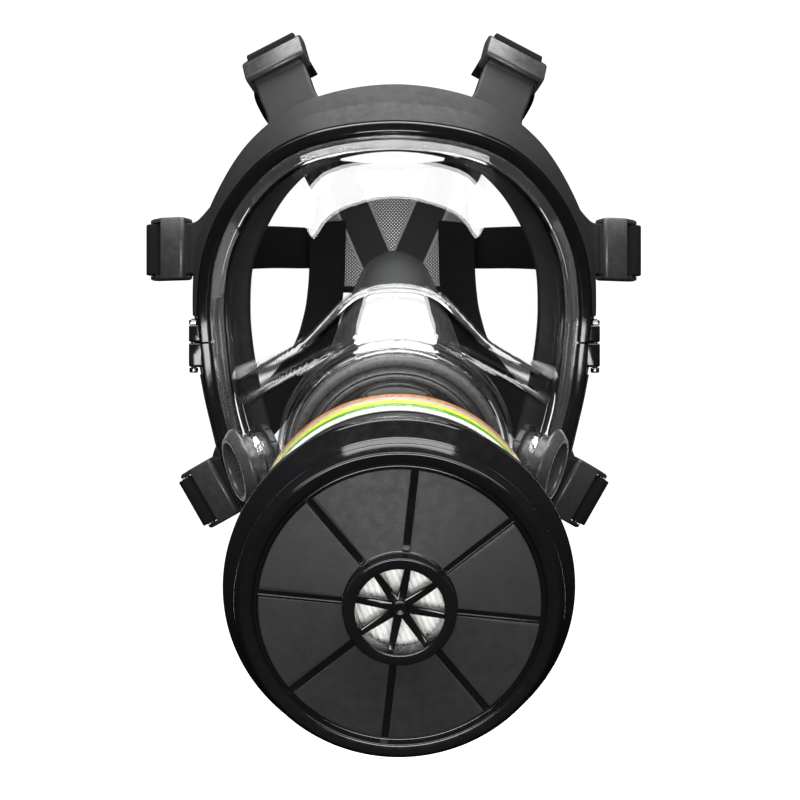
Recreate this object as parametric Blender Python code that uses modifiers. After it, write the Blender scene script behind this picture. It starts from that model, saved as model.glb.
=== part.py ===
"""Full face respirator with a wide clear visor and one screw-on front canister.

The mask looks along -Y, +Z is up, and the origin is the centre of the face at the rear
plane of the seal.  Lengths are written in millimetres and scaled to metres when a mesh
is made.  "left" is the -X side, the left hand side of somebody looking at the mask.
"""

import math

import bmesh
import bpy
import numpy as np
from mathutils import Matrix, Vector

MM = 0.001
MERGE = 0.00005
GAP = 0.3

# Outer edge of the visor, one half from brow to chin:
# half width, height, depth, rubber rim offset, seal rear depth, inner lip width.
EDGE = [
    (0, 113, -72, 24.0, -30, 25),
    (31, 110, -68, 22.0, -28, 25),
    (52, 102, -60, 17.0, -22, 25),
    (69, 86, -50, 12.0, -12, 24),
    (80, 66, -40, 9.5, -4, 24),
    (84, 44, -33, 7.8, 2, 24),
    (83.4, 25, -30, 7.4, 5, 24),
    (81, 5, -30, 6.4, 5, 24),
    (77.4, -10, -32, 6.3, 2, 24),
    (73.2, -24, -36, 6.3, -2, 24),
    (66, -40, -42, 6.4, -8, 24),
    (50, -62, -52, 6.5, -14, 25),
    (28, -76, -60, 6.5, -18, 26),
    (0, -81, -63, 6.5, -20, 27),
]
EDGE_COUNT = 40

# Visor surface: centre line depth of the brow part and of the lower part (height, depth),
# and the two ridges of the shelf between them (half width, height).
BROW_LINE = [(-90, -94), (20, -94), (49, -92), (70, -88), (100, -78), (118, -68)]
LOWER_LINE = [(-85, -80), (-60, -106), (-45, -113), (-20, -118.5), (22.5, -118), (49, -110), (60, -106)]
UPPER_RIDGE = [(0, 49.4), (9, 48.4), (17, 44.7), (27.6, 34.4), (37, 25), (47, 19.4), (58, 15.4), (67, 13.7), (90, 12)]
LOWER_RIDGE = [(0, 22.6), (26.6, 17.7), (53, 5.6), (67, -1.7), (72, -2.4), (90, -3)]
SECTION_HALF_WIDTH = 92.0
BROW_DROP = 99.7
LOWER_DROP = 150.0
VISOR_THICKNESS = 2.5
VISOR_BRIM = 5.0
VISOR_CENTRE_Z = 22.0
VISOR_RINGS = 8

# Front housing: its axis is tilted down like the canister it carries.
HOUSING_CENTRE = Vector((0, -116, -22.4))
TILT = math.radians(12.3)
HOUSING_BOSS_RADIUS = 43.0
HOUSING_BOSS_EDGE = 48.0
SPIGOT_RADIUS = 35.7
SOCKET_DROP = -20.0
SOCKET_RADIUS = 25.5
SOCKET_FRONT = 22.0
SOCKET_SHOULDER = 5.0
THREAD_RADIUS = 20.0
PASSAGE_RADIUS = 12.5
SPEECH_RISE = 20.5
SPEECH_HALF_WIDTH = 16.2
SPEECH_HALF_HEIGHT = 10.7
FACE_TO_HOUSING = 110.8

# Exhalation ports in the lower sides of the visor.
PORT_CENTRE = Vector((-62.6, -74.3, -28.0))
PORT_TURN = math.radians(69)
PORT_DIP = math.radians(16)
PORT_RADIUS = 12.6

# Clamp frame round the visor and its two side joints.
FRAME_JOINT_Z = 26.0
FRAME_JOINT_GAP = 0.4
EAR_Z = (15.0, 34.0)
EAR_FROM = 3.4
EAR_TO = 9.7
EAR_DEPTH = (-2.4, 6.6)
SCREW_OUT = 7.9
SCREW_BACK = 1.8
SCREW_BORE = 1.5
SCREW_PROFILE = [(0, 37.0), (1.2, 37.0), (1.2, 14.7), (2.0, 14.7), (2.0, 12.9), (1.6, 12.4), (0, 12.4)]
NUT_PROFILE = [(1.5, 36.4), (2.2, 36.4), (2.2, 34.3), (1.5, 34.3)]
NOTCH_Z = (11.6, 38.4)

# Buckles: where the rubber lug carries the bar, the bar's direction and the way the
# buckle reaches out from it, for the left side.
LUGS = {
    "upper": dict(
        bar=(-51.8, -38, 146.8), axis=(0.894, -0.182, 0.409), reach=(-0.24, 0.66, 0.71),
        path=[(-39, -54, 113), (-44, -51.5, 126), (-48.4, -45, 137.5)], widths=[41, 25.5, 24.4], thick=[7, 5.2, 4.2],
    ),
    "middle": dict(
        bar=(-98.6, -7, 70.9), axis=(0, 0, 1), reach=(-0.94, 0.34, 0),
        path=[(-84, -15, 70.9), (-91.5, -10.5, 70.9)], widths=[38, 25.4], thick=[6, 4.6],
    ),
    "lower": dict(
        bar=(-79.6, -8, -40.0), axis=(-0.496, 0, 0.868), reach=(-0.82, 0.32, -0.47),
        path=[(-68, -19, -33.2), (-74.5, -12.8, -36.9)], widths=[36, 25.4], thick=[6, 4.6],
    ),
}
BUCKLE_HALF_WIDTH = 14.5
BUCKLE_WINDOW = 12.5
PIN_DEPTH = 0.9
BUCKLE_PROFILE = [(-2.8, -3.0), (16.0, -3.0), (17.4, -1.6), (17.4, 1.4), (9.4, 6.3), (-1.4, 6.3), (-2.8, 4.9)]
LUG_BAR_RADIUS = 1.9
LUG_LOOP_RADIUS = 3.9
LUG_LOOP_HALF = 12.1
ROLLER_AT = 14.8
ROLLER_RADIUS = 2.9
PIN_RADIUS = 1.1

# Head harness: straps follow an ellipsoid standing for the head.
HEAD_CENTRE = Vector((0, 75, 60))
HEAD_RADII = (80.0, 90.0, 110.0)
STRAP_WIDTH = 23.8
STRAP_THICK = 1.6
PAD_THICK = 1.2
PAD_Z = (66.0, 134.0)
PAD_HALF_WIDTH = (46.0, 39.0)

# Nose cup sections from the face to the front: half outlines of (half width, height, depth).
CUP_RINGS = [
    [(0, 66, -27), (7, 64.5, -26), (14, 59, -24), (22, 42, -17), (30, 22, -11), (38, 0, -7), (42, -17, -7),
     (40.5, -33, -10), (32, -46, -16), (18, -52, -24), (0, -54, -27)],
    [(0, 65, -46), (6.5, 63.5, -45), (13.5, 58, -43), (21, 41.5, -38), (28, 22, -34), (34.5, 0, -32), (38, -18, -32),
     (37.5, -34, -34), (31, -48, -38), (17, -56, -43), (0, -58.5, -45)],
    [(0, 63, -67), (6.5, 61.5, -66.5), (13.5, 56, -65), (21, 40, -62), (27.5, 21, -60), (33, 0, -59), (36.5, -18, -59),
     (37, -36, -60), (30.5, -51, -62), (17, -59, -64), (0, -62, -65)],
    [(0, 50, -83), (7, 48.5, -83), (14, 44, -82), (21.5, 33, -81), (28.5, 17, -80), (34, -1, -80), (37.4, -18, -80),
     (37.6, -36, -80), (31, -50, -81), (17, -58.5, -82), (0, -61.5, -83)],
]
CUP_COUNT = 28
CUP_COLLAR_RADIUS = 38.4
CUP_COLLAR_LEVELS = (-11.6, -7.0)
CUP_WALL = 1.9
NOSE_VALVE_AT = Vector((-32.2, -47, 8))

# Canister, measured back from the plane of its front panel.
COVER_PROFILE = [
    (14.2, -5.5), (17.5, -5.5), (17.9, -5.1), (17.9, 0.0), (45.2, 0.0), (45.4, 1.3), (46.5, 1.3), (47.1, -1.0),
    (50.6, -1.5), (52.9, 1.8), (52.9, 8.5), (57.8, 14.2), (57.8, 18.8), (56.6, 19.8), (50.5, 19.8), (50.5, 4.2),
    (46.0, 2.4), (14.2, 2.4),
]
CANISTER_RADIUS = 52.0
CANISTER_REAR = 85.5
LABEL_BACK = (50.0, 76.0)
NECK_END = 102.0
GRILLE_SPOKES = 8
PLEATS = 13


# ---------------------------------------------------------------- scene helpers

def clear_scene():
    for obj in list(bpy.data.objects):
        bpy.data.objects.remove(obj, do_unlink=True)


def collection(name):
    made = bpy.data.collections.new(name)
    bpy.context.scene.collection.children.link(made)
    return made


def paint(obj, colour, roughness, metallic=0.0, alpha=1.0):
    mat = bpy.data.materials.new(obj.name)
    mat.use_nodes = True
    shader = mat.node_tree.nodes["Principled BSDF"]
    shader.inputs["Base Color"].default_value = (*colour, 1.0)
    shader.inputs["Roughness"].default_value = roughness
    shader.inputs["Metallic"].default_value = metallic
    shader.inputs["Alpha"].default_value = alpha
    obj.data.materials.clear()
    obj.data.materials.append(mat)


def mesh_from(name, verts, faces=(), edges=()):
    """A mesh from millimetre points; closed shells get outward normals."""
    mesh = bpy.data.meshes.new(name)
    mesh.from_pydata([Vector(v) * MM for v in verts], edges, faces)
    if faces:
        bm = bmesh.new()
        bm.from_mesh(mesh)
        bmesh.ops.recalc_face_normals(bm, faces=bm.faces)
        bm.to_mesh(mesh)
        bm.free()
    return mesh


def open_shell(name, verts, faces, towards):
    """An open surface from millimetre points whose face furthest along a direction looks that way."""
    mesh = bpy.data.meshes.new(name)
    mesh.from_pydata([Vector(v) * MM for v in verts], [], faces)
    bm = bmesh.new()
    bm.from_mesh(mesh)
    bmesh.ops.recalc_face_normals(bm, faces=bm.faces)
    bm.normal_update()
    way = Vector(towards)
    furthest = max(bm.faces, key=lambda face: face.calc_center_median().dot(way))
    if furthest.normal.dot(way) < 0:
        bmesh.ops.reverse_faces(bm, faces=bm.faces)
    bm.to_mesh(mesh)
    bm.free()
    return mesh


def thicken(obj, thickness, offset):
    shell = obj.modifiers.new("solidify", "SOLIDIFY")
    shell.thickness = thickness * MM
    shell.offset = offset


def add(name, mesh, look, frame=None, group=None):
    obj = bpy.data.objects.new(name, mesh)
    (group or PARTS).objects.link(obj)
    if frame is not None:
        obj.matrix_world = frame
    if look:
        paint(obj, *look)
    if mesh.polygons:
        mesh.shade_smooth()
        mesh.set_sharp_from_angle(angle=math.radians(35))
    return obj


def tool(name, mesh, frame=None):
    """A cutter or a joining body, left out of the build."""
    obj = add(name, mesh, None, frame, TOOLS)
    obj.hide_render = True
    obj.display_type = "WIRE"
    return obj


def boolean(obj, other, operation="DIFFERENCE"):
    mod = obj.modifiers.new(operation.lower(), "BOOLEAN")
    mod.operation = operation
    mod.solver = "EXACT"
    mod.object = other


def bake(obj):
    """Applies the modifiers, so that the finished mesh can be shared."""
    graph = bpy.context.evaluated_depsgraph_get()
    mesh = bpy.data.meshes.new_from_object(obj.evaluated_get(graph))
    obj.modifiers.clear()
    obj.data = mesh
    return mesh


# ---------------------------------------------------------------- geometry helpers

def frame_of(origin, x_axis, y_axis):
    """A placement from millimetre origin, X axis and Y axis (made square)."""
    x = Vector(x_axis).normalized()
    z = x.cross(Vector(y_axis)).normalized()
    y = z.cross(x)
    rot = Matrix((x, y, z)).transposed().to_4x4()
    return Matrix.Translation(Vector(origin) * MM) @ rot


def mirrored(vector):
    return Vector((-vector[0], vector[1], vector[2]))


def smooth_path(points, closed, per_span=16):
    """Catmull-Rom curve through rows of values."""
    pts = np.array(points, dtype=float)
    count = len(pts)
    spans = count if closed else count - 1
    out = []
    for i in range(spans):
        if closed:
            p0, p1, p2, p3 = (pts[(i + k) % count] for k in (-1, 0, 1, 2))
        else:
            p0, p1, p2, p3 = (pts[min(max(i + k, 0), count - 1)] for k in (-1, 0, 1, 2))
        for k in range(per_span):
            t = k / per_span
            out.append(0.5 * (2 * p1 + (p2 - p0) * t + (2 * p0 - 5 * p1 + 4 * p2 - p3) * t**2
                              + (3 * p1 - p0 - 3 * p2 + p3) * t**3))
    if not closed:
        out.append(pts[-1])
    return np.array(out)


def resample(path, count, closed, columns):
    """Evenly spaced rows along a dense path, measured in the given columns."""
    if closed:
        path = np.vstack([path, path[:1]])
    steps = np.linalg.norm(np.diff(path[:, columns], axis=0), axis=1)
    along = np.concatenate([[0], np.cumsum(steps)])
    wanted = np.linspace(0, along[-1], count + 1 if closed else count)
    if closed:
        wanted = wanted[:-1]
    return np.stack([np.interp(wanted, along, path[:, c]) for c in range(path.shape[1])], axis=1)


def ease(t):
    t = np.clip(t, 0, 1)
    return t * t * (3 - 2 * t)


def lookup(table, value):
    """Smooth curve through a short table of (input, output)."""
    xs = np.array([p[0] for p in table], dtype=float)
    ys = np.array([p[1] for p in table], dtype=float)
    slope = np.gradient(ys, xs)
    value = float(np.clip(value, xs[0], xs[-1]))
    i = int(np.clip(np.searchsorted(xs, value) - 1, 0, len(xs) - 2))
    width = xs[i + 1] - xs[i]
    t = (value - xs[i]) / width
    return ((2 * t**3 - 3 * t**2 + 1) * ys[i] + (t**3 - 2 * t**2 + t) * width * slope[i]
            + (3 * t**2 - 2 * t**3) * ys[i + 1] + (t**3 - t**2) * width * slope[i + 1])


def closed_half(rows):
    """Mirrors a half outline, given from top to bottom, into a closed one."""
    other = [(-row[0], *row[1:]) for row in rows[-2:0:-1]]
    return list(rows) + other


def loft(rings, close_around=True, close_along=False, caps=False):
    """Faces between rings of equal length; returns points and faces."""
    size = len(rings[0])
    verts = [tuple(p) for ring in rings for p in ring]
    faces = []
    count = len(rings)
    for i in range(count if close_along else count - 1):
        a = i * size
        b = ((i + 1) % count) * size
        for k in range(size if close_around else size - 1):
            n = (k + 1) % size
            faces.append((a + k, a + n, b + n, b + k))
    if caps:
        faces.append(tuple(range(size)))
        faces.append(tuple(range((count - 1) * size, count * size)))
    return verts, faces


def ribbon(centres, widths, thick, across):
    """Flat band: centres with a width, a thickness and a width direction at each."""
    rings = []
    count = len(centres)
    for i, centre in enumerate(centres):
        before = Vector(centres[max(i - 1, 0)])
        after = Vector(centres[min(i + 1, count - 1)])
        tangent = (after - before).normalized()
        side = Vector(across[i])
        side = (side - tangent * side.dot(tangent)).normalized()
        up = tangent.cross(side)
        half = side * widths[i] / 2
        rise = up * thick[i] / 2
        centre = Vector(centre)
        rings.append([centre - half - rise, centre + half - rise, centre + half + rise, centre - half + rise])
    return loft(rings, caps=True)


def turned(name, profile, look, frame, steps=40, group=None):
    """A solid of revolution about the frame's Z axis from (radius, height) points."""
    pts = [tuple(map(float, p)) for p in profile]
    area = sum(a[0] * b[1] - b[0] * a[1] for a, b in zip(pts, pts[1:] + pts[:1]))
    if area > 0:
        pts.reverse()
    touches_axis = min(p[0] for p in pts) == 0
    if touches_axis:
        while not (pts[0][0] == 0 and pts[-1][0] == 0):
            pts.append(pts.pop(0))
        if pts[0][1] < pts[-1][1]:
            pts.reverse()
    count = len(pts)
    edges = [(i, i + 1) for i in range(count - 1)]
    if not touches_axis:
        edges.append((count - 1, 0))
    mesh = mesh_from(name, [(r, 0, h) for r, h in pts], edges=edges)
    obj = tool(name, mesh, frame) if group == "tool" else add(name, mesh, look, frame)
    mod = obj.modifiers.new("screw", "SCREW")
    mod.axis = "Z"
    mod.angle = math.tau
    mod.steps = steps
    mod.render_steps = steps
    mod.use_merge_vertices = True
    mod.merge_threshold = MERGE
    return obj


def rod(name, radius, low, high, frame, look=None, offset=(0, 0), sides=32, squash=1.0):
    """A cylinder along the frame's Z axis, as a part when it has a look, else a tool."""
    bm = bmesh.new()
    bmesh.ops.create_cone(bm, cap_ends=True, segments=sides, radius1=radius * MM, radius2=radius * MM,
                          depth=(high - low) * MM)
    move = Matrix.Translation(Vector((offset[0], offset[1], (low + high) / 2)) * MM)
    bm.transform(move @ Matrix.Diagonal((1, squash, 1, 1)))
    mesh = bpy.data.meshes.new(name)
    bm.to_mesh(mesh)
    bm.free()
    return add(name, mesh, look, frame) if look else tool(name, mesh, frame)


def block(name, low, high, frame=None, look=None, turn=0.0):
    """A box between two millimetre corners, turned about the frame's Z axis."""
    bm = bmesh.new()
    bmesh.ops.create_cube(bm, size=1)
    low = Vector(low)
    high = Vector(high)
    size = high - low
    move = Matrix.Translation((low + high) / 2 * MM) @ Matrix.Diagonal((*(size * MM), 1))
    bm.transform(Matrix.Rotation(turn, 4, "Z") @ move)
    mesh = bpy.data.meshes.new(name)
    bm.to_mesh(mesh)
    bm.free()
    place = frame if frame is not None else Matrix.Identity(4)
    return add(name, mesh, look, place) if look else tool(name, mesh, place)


# ---------------------------------------------------------------- looks

RUBBER = ((0.035, 0.035, 0.034), 0.62)
SILICONE = ((0.045, 0.045, 0.045), 0.5)
BLACK = ((0.012, 0.012, 0.013), 0.28)
SATIN = ((0.022, 0.022, 0.023), 0.45)
CLEAR = ((0.80, 0.83, 0.84), 0.05, 0.0, 0.3)
WEB = ((0.018, 0.018, 0.018), 0.85)
STEEL = ((0.5, 0.5, 0.5), 0.3, 1.0)
PAPER = ((0.82, 0.81, 0.78), 0.9)
CARBON = ((0.01, 0.01, 0.01), 0.95)
VALVE = ((0.55, 0.56, 0.55), 0.45)
LABEL = ((0.75, 0.75, 0.72), 0.45)

clear_scene()
PARTS = collection("full_face_respirator")
TOOLS = collection("cutters")

HOUSING = frame_of(HOUSING_CENTRE, (1, 0, 0), (0, -math.sin(TILT), math.cos(TILT)))
HOUSING_UP = Vector((0, -math.sin(TILT), math.cos(TILT)))
HOUSING_OUT = Vector((0, -math.cos(TILT), -math.sin(TILT)))
SOCKET = HOUSING @ Matrix.Translation((0, SOCKET_DROP * MM, 0))
# The canister's frame: Z runs back from its front panel towards the face.
CANISTER = SOCKET @ Matrix.Translation((0, 0, FACE_TO_HOUSING * MM)) @ Matrix.Rotation(math.pi, 4, "Y")


def port_frame(side):
    """The exhalation port's frame, Z outward; side is -1 on the left, 1 on the right."""
    out = Vector((side * math.sin(PORT_TURN) * math.cos(PORT_DIP),
                  -math.cos(PORT_TURN) * math.cos(PORT_DIP), -math.sin(PORT_DIP)))
    centre = Vector((-side * PORT_CENTRE.x, PORT_CENTRE.y, PORT_CENTRE.z))
    y_axis = Vector((0, 0, 1))
    y_axis = (y_axis - out * y_axis.dot(out)).normalized()
    return frame_of(centre, y_axis.cross(out), y_axis)


# ---------------------------------------------------------------- visor outline

OUTLINE_DENSE = smooth_path(closed_half(EDGE), True)
OUTLINE = resample(OUTLINE_DENSE, EDGE_COUNT, True, [0, 1])


def outward(rows, i, closed=True):
    """Unit normal of the outline in the front plane at row i."""
    count = len(rows)
    if closed:
        a, b = rows[(i - 1) % count], rows[(i + 1) % count]
    else:
        a, b = rows[max(i - 1, 0)], rows[min(i + 1, count - 1)]
    normal = np.array([-(b[1] - a[1]), b[0] - a[0]])
    normal /= np.linalg.norm(normal)
    centre = np.array([0, VISOR_CENTRE_Z])
    return normal if normal @ (rows[i][:2] - centre) > 0 else -normal


def sweep_section(rows, section, closed):
    """Places section(row) -> [(outward offset, depth)] round the outline."""
    rings = []
    for i, row in enumerate(rows):
        nx, nz = outward(rows, i, closed)
        rings.append([(row[0] + nx * o, y, row[1] + nz * o) for o, y in section(row)])
    return loft(rings, close_along=closed, caps=not closed)


# ---------------------------------------------------------------- face seal

def seal_section(row):
    edge, rim, rear, lip = row[2], row[3], row[4], row[5]
    flare = rim - 5.4
    return [
        (-6.0, edge + 2.8), (0.5, edge + 2.8), (0.5, edge + 0.2), (2.2, edge + 0.2), (2.2, edge + 7.3),
        (5.4, edge + 7.3), (5.4, edge - 0.8), (5.4 + 0.5 * flare, edge - 0.6 + 0.42 * flare),
        (rim, edge + 1.2 + 0.62 * flare), (rim, rear - 7), (rim - 3.5, rear), (rim - lip + 1.5, rear - 2.0),
        (rim - lip, rear - 3.6), (rim - lip + 1.5, rear - 4.6), (rim - 3.4, rear - 7),
        (rim - 3.4, edge + max(0.62 * flare + 4.8, 10.5)), (2.4, edge + 10.2), (-6.0, edge + 5.8),
    ]


def side_name(side):
    return "left" if side < 0 else "right"


def lug_frame(kind, side):
    """Buckle frame: X along the bar, Y reaching out, Z to the front."""
    spec = LUGS[kind]
    if side < 0:
        return frame_of(spec["bar"], spec["axis"], spec["reach"])
    reach = mirrored(spec["reach"])
    return frame_of(mirrored(spec["bar"]), -mirrored(spec["axis"]), reach)


seal = add("face_seal", mesh_from("face_seal", *sweep_section(OUTLINE, seal_section, True)), RUBBER)
for kind, spec in LUGS.items():
    for side in (-1, 1):
        frame = lug_frame(kind, side)
        turn = mirrored if side > 0 else Vector
        points = [turn(p) for p in spec["path"]] + [turn(spec["bar"])]
        across = [turn(spec["axis"])] * len(points)
        name = f"{kind}_{side_name(side)}"
        band = ribbon(points, spec["widths"] + [2 * LUG_LOOP_HALF], spec["thick"] + [4.0], across)
        lug = tool(f"lug_{name}", mesh_from(f"lug_{name}", *band))
        along_bar = frame @ Matrix.Rotation(math.pi / 2, 4, "Y")
        loop = rod(f"loop_{name}", LUG_LOOP_RADIUS, -LUG_LOOP_HALF, LUG_LOOP_HALF, along_bar, sides=12)
        bore = rod(f"bore_{name}", LUG_BAR_RADIUS + GAP, -20, 20, along_bar, sides=10)
        boolean(lug, loop, "UNION")
        boolean(lug, bore)
        boolean(seal, lug, "UNION")

# ---------------------------------------------------------------- clamp frame

def frame_section(row):
    edge = row[2]
    return [(-1.0, edge - 0.5), (-1.0, edge - 1.9), (0.4, edge - 3.2), (4.0, edge - 3.2), (4.9, edge - 2.1),
            (4.9, edge + 6.8), (2.9, edge + 6.8), (2.9, edge - 0.5)]


def outline_between(low, high, upper):
    """Rows of the outline above or below the side joints."""
    dense = OUTLINE_DENSE
    keep = []
    count = len(dense)
    start = count // 2 if upper else 0
    for k in range(count):
        row = dense[(start + k) % count]
        if (upper and row[1] >= high) or (not upper and row[1] <= low):
            keep.append(row)
    return np.array(keep)


EAR_ROW = min(OUTLINE_DENSE[: len(OUTLINE_DENSE) // 2], key=lambda row: abs(row[1] - FRAME_JOINT_Z))
EAR_X = float(EAR_ROW[0])
EAR_Y = float(EAR_ROW[2])
SCREW_X = EAR_X + SCREW_OUT
SCREW_Y = EAR_Y + SCREW_BACK
for name, upper, count in (("frame_upper", True, 22), ("frame_lower", False, 22)):
    rows = outline_between(FRAME_JOINT_Z - FRAME_JOINT_GAP / 2, FRAME_JOINT_Z + FRAME_JOINT_GAP / 2, upper)
    rows = resample(rows, count, False, [0, 1])
    body = add(name, mesh_from(name, *sweep_section(rows, frame_section, False)), BLACK)
    low, high = ((FRAME_JOINT_Z + FRAME_JOINT_GAP / 2, EAR_Z[1]) if upper
                 else (EAR_Z[0], FRAME_JOINT_Z - FRAME_JOINT_GAP / 2))
    for side in (-1, 1):
        xs = sorted((side * (EAR_X + EAR_FROM), side * (EAR_X + EAR_TO)))
        ear = block(f"{name}_ear_{side_name(side)}", (xs[0], EAR_Y + EAR_DEPTH[0], low),
                    (xs[1], EAR_Y + EAR_DEPTH[1], high))
        boolean(body, ear, "UNION")
        hole_frame = Matrix.Translation(Vector((side * SCREW_X, SCREW_Y, 0)) * MM)
        hole = rod(f"{name}_hole_{side_name(side)}", SCREW_BORE, low - 5, high + 5, hole_frame, sides=10)
        boolean(body, hole)

for side in (-1, 1):
    which = side_name(side)
    xs = sorted((side * (EAR_X + 2.42), side * (EAR_X + 12)))
    notch = block(f"seal_notch_{which}", (xs[0], EAR_Y - 12, NOTCH_Z[0]), (xs[1], EAR_Y + 7.0, NOTCH_Z[1]))
    boolean(seal, notch)
    screw_frame = Matrix.Translation(Vector((side * SCREW_X, SCREW_Y, 0)) * MM)
    turned(f"frame_screw_{which}", SCREW_PROFILE, STEEL, screw_frame, 10)
    turned(f"frame_nut_{which}", NUT_PROFILE, STEEL, screw_frame, 6)


# ---------------------------------------------------------------- visor

def housing_plane_y(z):
    return HOUSING_CENTRE.y - math.tan(TILT) * (z - HOUSING_CENTRE.z)


def visor_depth(x, z):
    """Depth of the visor's outer surface at half width x and height z."""
    bulge = 1 - math.sqrt(max(1 - (x / SECTION_HALF_WIDTH) ** 2, 0.02))
    brow = lookup(BROW_LINE, z) + BROW_DROP * bulge
    lower = lookup(LOWER_LINE, z) + LOWER_DROP * bulge
    top = lookup(UPPER_RIDGE, abs(x))
    bottom = lookup(LOWER_RIDGE, abs(x))
    depth = brow + (lower - brow) * ease((top - z) / (top - bottom))
    level = (z - HOUSING_CENTRE.z) / math.cos(TILT)
    radius = math.hypot(x, level)
    boss = ease((HOUSING_BOSS_EDGE - radius) / (HOUSING_BOSS_EDGE - HOUSING_BOSS_RADIUS))
    return float(depth + (housing_plane_y(z) - depth) * boss)


def visor_mesh():
    """Rings from the housing hole, over its boss, out to the outline and its brim."""
    count = EDGE_COUNT
    inner = []
    for i, row in enumerate(OUTLINE):
        nx, nz = outward(OUTLINE, i)
        inner.append((row[0] - nx * VISOR_BRIM, row[1] - nz * VISOR_BRIM))
    circle = []
    for i in range(count):
        angle = math.tau * i / count
        circle.append((math.sin(angle), math.cos(angle) * math.cos(TILT)))
    verts = []
    for radius in (SPIGOT_RADIUS + 2 * GAP, HOUSING_BOSS_RADIUS, (HOUSING_BOSS_RADIUS + HOUSING_BOSS_EDGE) / 2):
        for cx, cz in circle:
            x, z = cx * radius, HOUSING_CENTRE.z + cz * radius
            verts.append((x, visor_depth(x, z), z))
    for k in range(VISOR_RINGS + 1):
        f = k / VISOR_RINGS
        for i, (x, z) in enumerate(inner):
            cx, cz = circle[i]
            px = x * f + cx * HOUSING_BOSS_EDGE * (1 - f)
            pz = z * f + (HOUSING_CENTRE.z + cz * HOUSING_BOSS_EDGE) * (1 - f)
            settle = OUTLINE[i][2] - 0.6 - visor_depth(x, z)
            verts.append((px, visor_depth(px, pz) + settle * f**4, pz))
    for row in OUTLINE:
        verts.append((row[0], row[2], row[1]))
    faces = []
    for a in range(0, len(verts) - count, count):
        for i in range(count):
            n = (i + 1) % count
            b = a + count
            if i < count // 2:
                faces += [(a + i, b + i, b + n), (a + i, b + n, a + n)]
            else:
                faces += [(a + i, b + i, a + n), (b + i, b + n, a + n)]
    return open_shell("visor", verts, faces, (0, -1, 0))


visor = add("visor", visor_mesh(), CLEAR)
thicken(visor, VISOR_THICKNESS, -1)

# ---------------------------------------------------------------- front housing

housing = turned("front_housing", [
    (0, 4.0), (41.0, 4.0), (41.3, 3.7), (41.3, 1.5), (SPIGOT_RADIUS, 1.5), (SPIGOT_RADIUS, -12.0), (33.4, -12.0),
    (33.4, 1.5), (0, 1.5),
], SATIN, HOUSING, 28)
boolean(housing, rod("socket_wall", SOCKET_RADIUS, 1.6, SOCKET_FRONT, SOCKET, sides=28), "UNION")
boolean(housing, rod("socket_bore", THREAD_RADIUS + GAP, SOCKET_SHOULDER, SOCKET_FRONT + 5, SOCKET, sides=28))
boolean(housing, rod("socket_passage", PASSAGE_RADIUS, -6, SOCKET_SHOULDER + 3, SOCKET, sides=20))
SPEECH_SQUASH = SPEECH_HALF_HEIGHT / SPEECH_HALF_WIDTH
boolean(housing, rod("speech_recess", SPEECH_HALF_WIDTH + GAP, 2.7, 8, HOUSING, offset=(0, SPEECH_RISE), sides=20,
                     squash=SPEECH_SQUASH))
boolean(housing, rod("speech_passage", SPEECH_HALF_WIDTH - 2.2, -3, 8, HOUSING, offset=(0, SPEECH_RISE), sides=20,
                     squash=SPEECH_SQUASH))
rod("speech_diaphragm", SPEECH_HALF_WIDTH - 0.2, 3.0, 3.5, HOUSING, VALVE, (0, SPEECH_RISE), 20, SPEECH_SQUASH)

grille = rod("speech_grille", SPEECH_HALF_WIDTH, 4.4, 6.4, HOUSING, SATIN, (0, SPEECH_RISE), 20, SPEECH_SQUASH)


def arc_slot(name, inner, outer, low, high, half_angle, frame, middle=math.pi / 2, steps=6):
    """A cutter shaped like a piece of a ring."""
    rings = []
    for k in range(steps + 1):
        angle = middle + half_angle * (2 * k / steps - 1)
        ca, sa = math.cos(angle), math.sin(angle)
        rings.append([(inner * ca, inner * sa, low), (outer * ca, outer * sa, low),
                      (outer * ca, outer * sa, high), (inner * ca, inner * sa, high)])
    return tool(name, mesh_from(name, *loft(rings, caps=True)), frame)


for k, (inner, outer, half) in enumerate(((26.6, 29.4, 24), (20.8, 23.6, 27), (15.0, 17.8, 27))):
    boolean(grille, arc_slot(f"speech_slot_{k}", inner, outer, 2, 9, math.radians(half), HOUSING))

bezel = turned("housing_bezel", [
    (31.6, 4.3), (31.6, 6.2), (32.2, 6.6), (34.4, 6.6), (34.4, 5.2), (37.6, 5.2), (37.6, 7.6), (41.2, 7.6),
    (41.8, 7.0), (41.8, 4.3),
], BLACK, HOUSING, 32)
boolean(bezel, rod("bezel_socket_clearance", SOCKET_RADIUS + GAP, -2, 30, SOCKET, sides=28))
turned("housing_gasket", [(36.0, 1.2), (40.6, 1.2), (40.6, 0.3), (36.0, 0.3)], RUBBER, HOUSING, 28)
turned("housing_nut", [(36.0, -2.9), (40.4, -2.9), (40.4, -6.4), (36.0, -6.4)], SATIN, HOUSING, 28)

seat = turned("inhalation_seat", [(12.1, 1.2), (12.1, -0.4), (13.0, -1.0), (13.0, -2.2), (10.6, -2.2), (10.6, 1.2)],
              SATIN, SOCKET, 16)
for k in range(2):
    spoke = block(f"inhalation_spoke_{k}", (-11.4, -0.9, -1.9), (11.4, 0.9, 0.8), SOCKET, turn=k * math.pi / 2)
    boolean(seat, spoke, "UNION")
rod("inhalation_valve", 12.2, -3.2, -2.5, SOCKET, VALVE, sides=20)

# ---------------------------------------------------------------- exhalation ports

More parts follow.
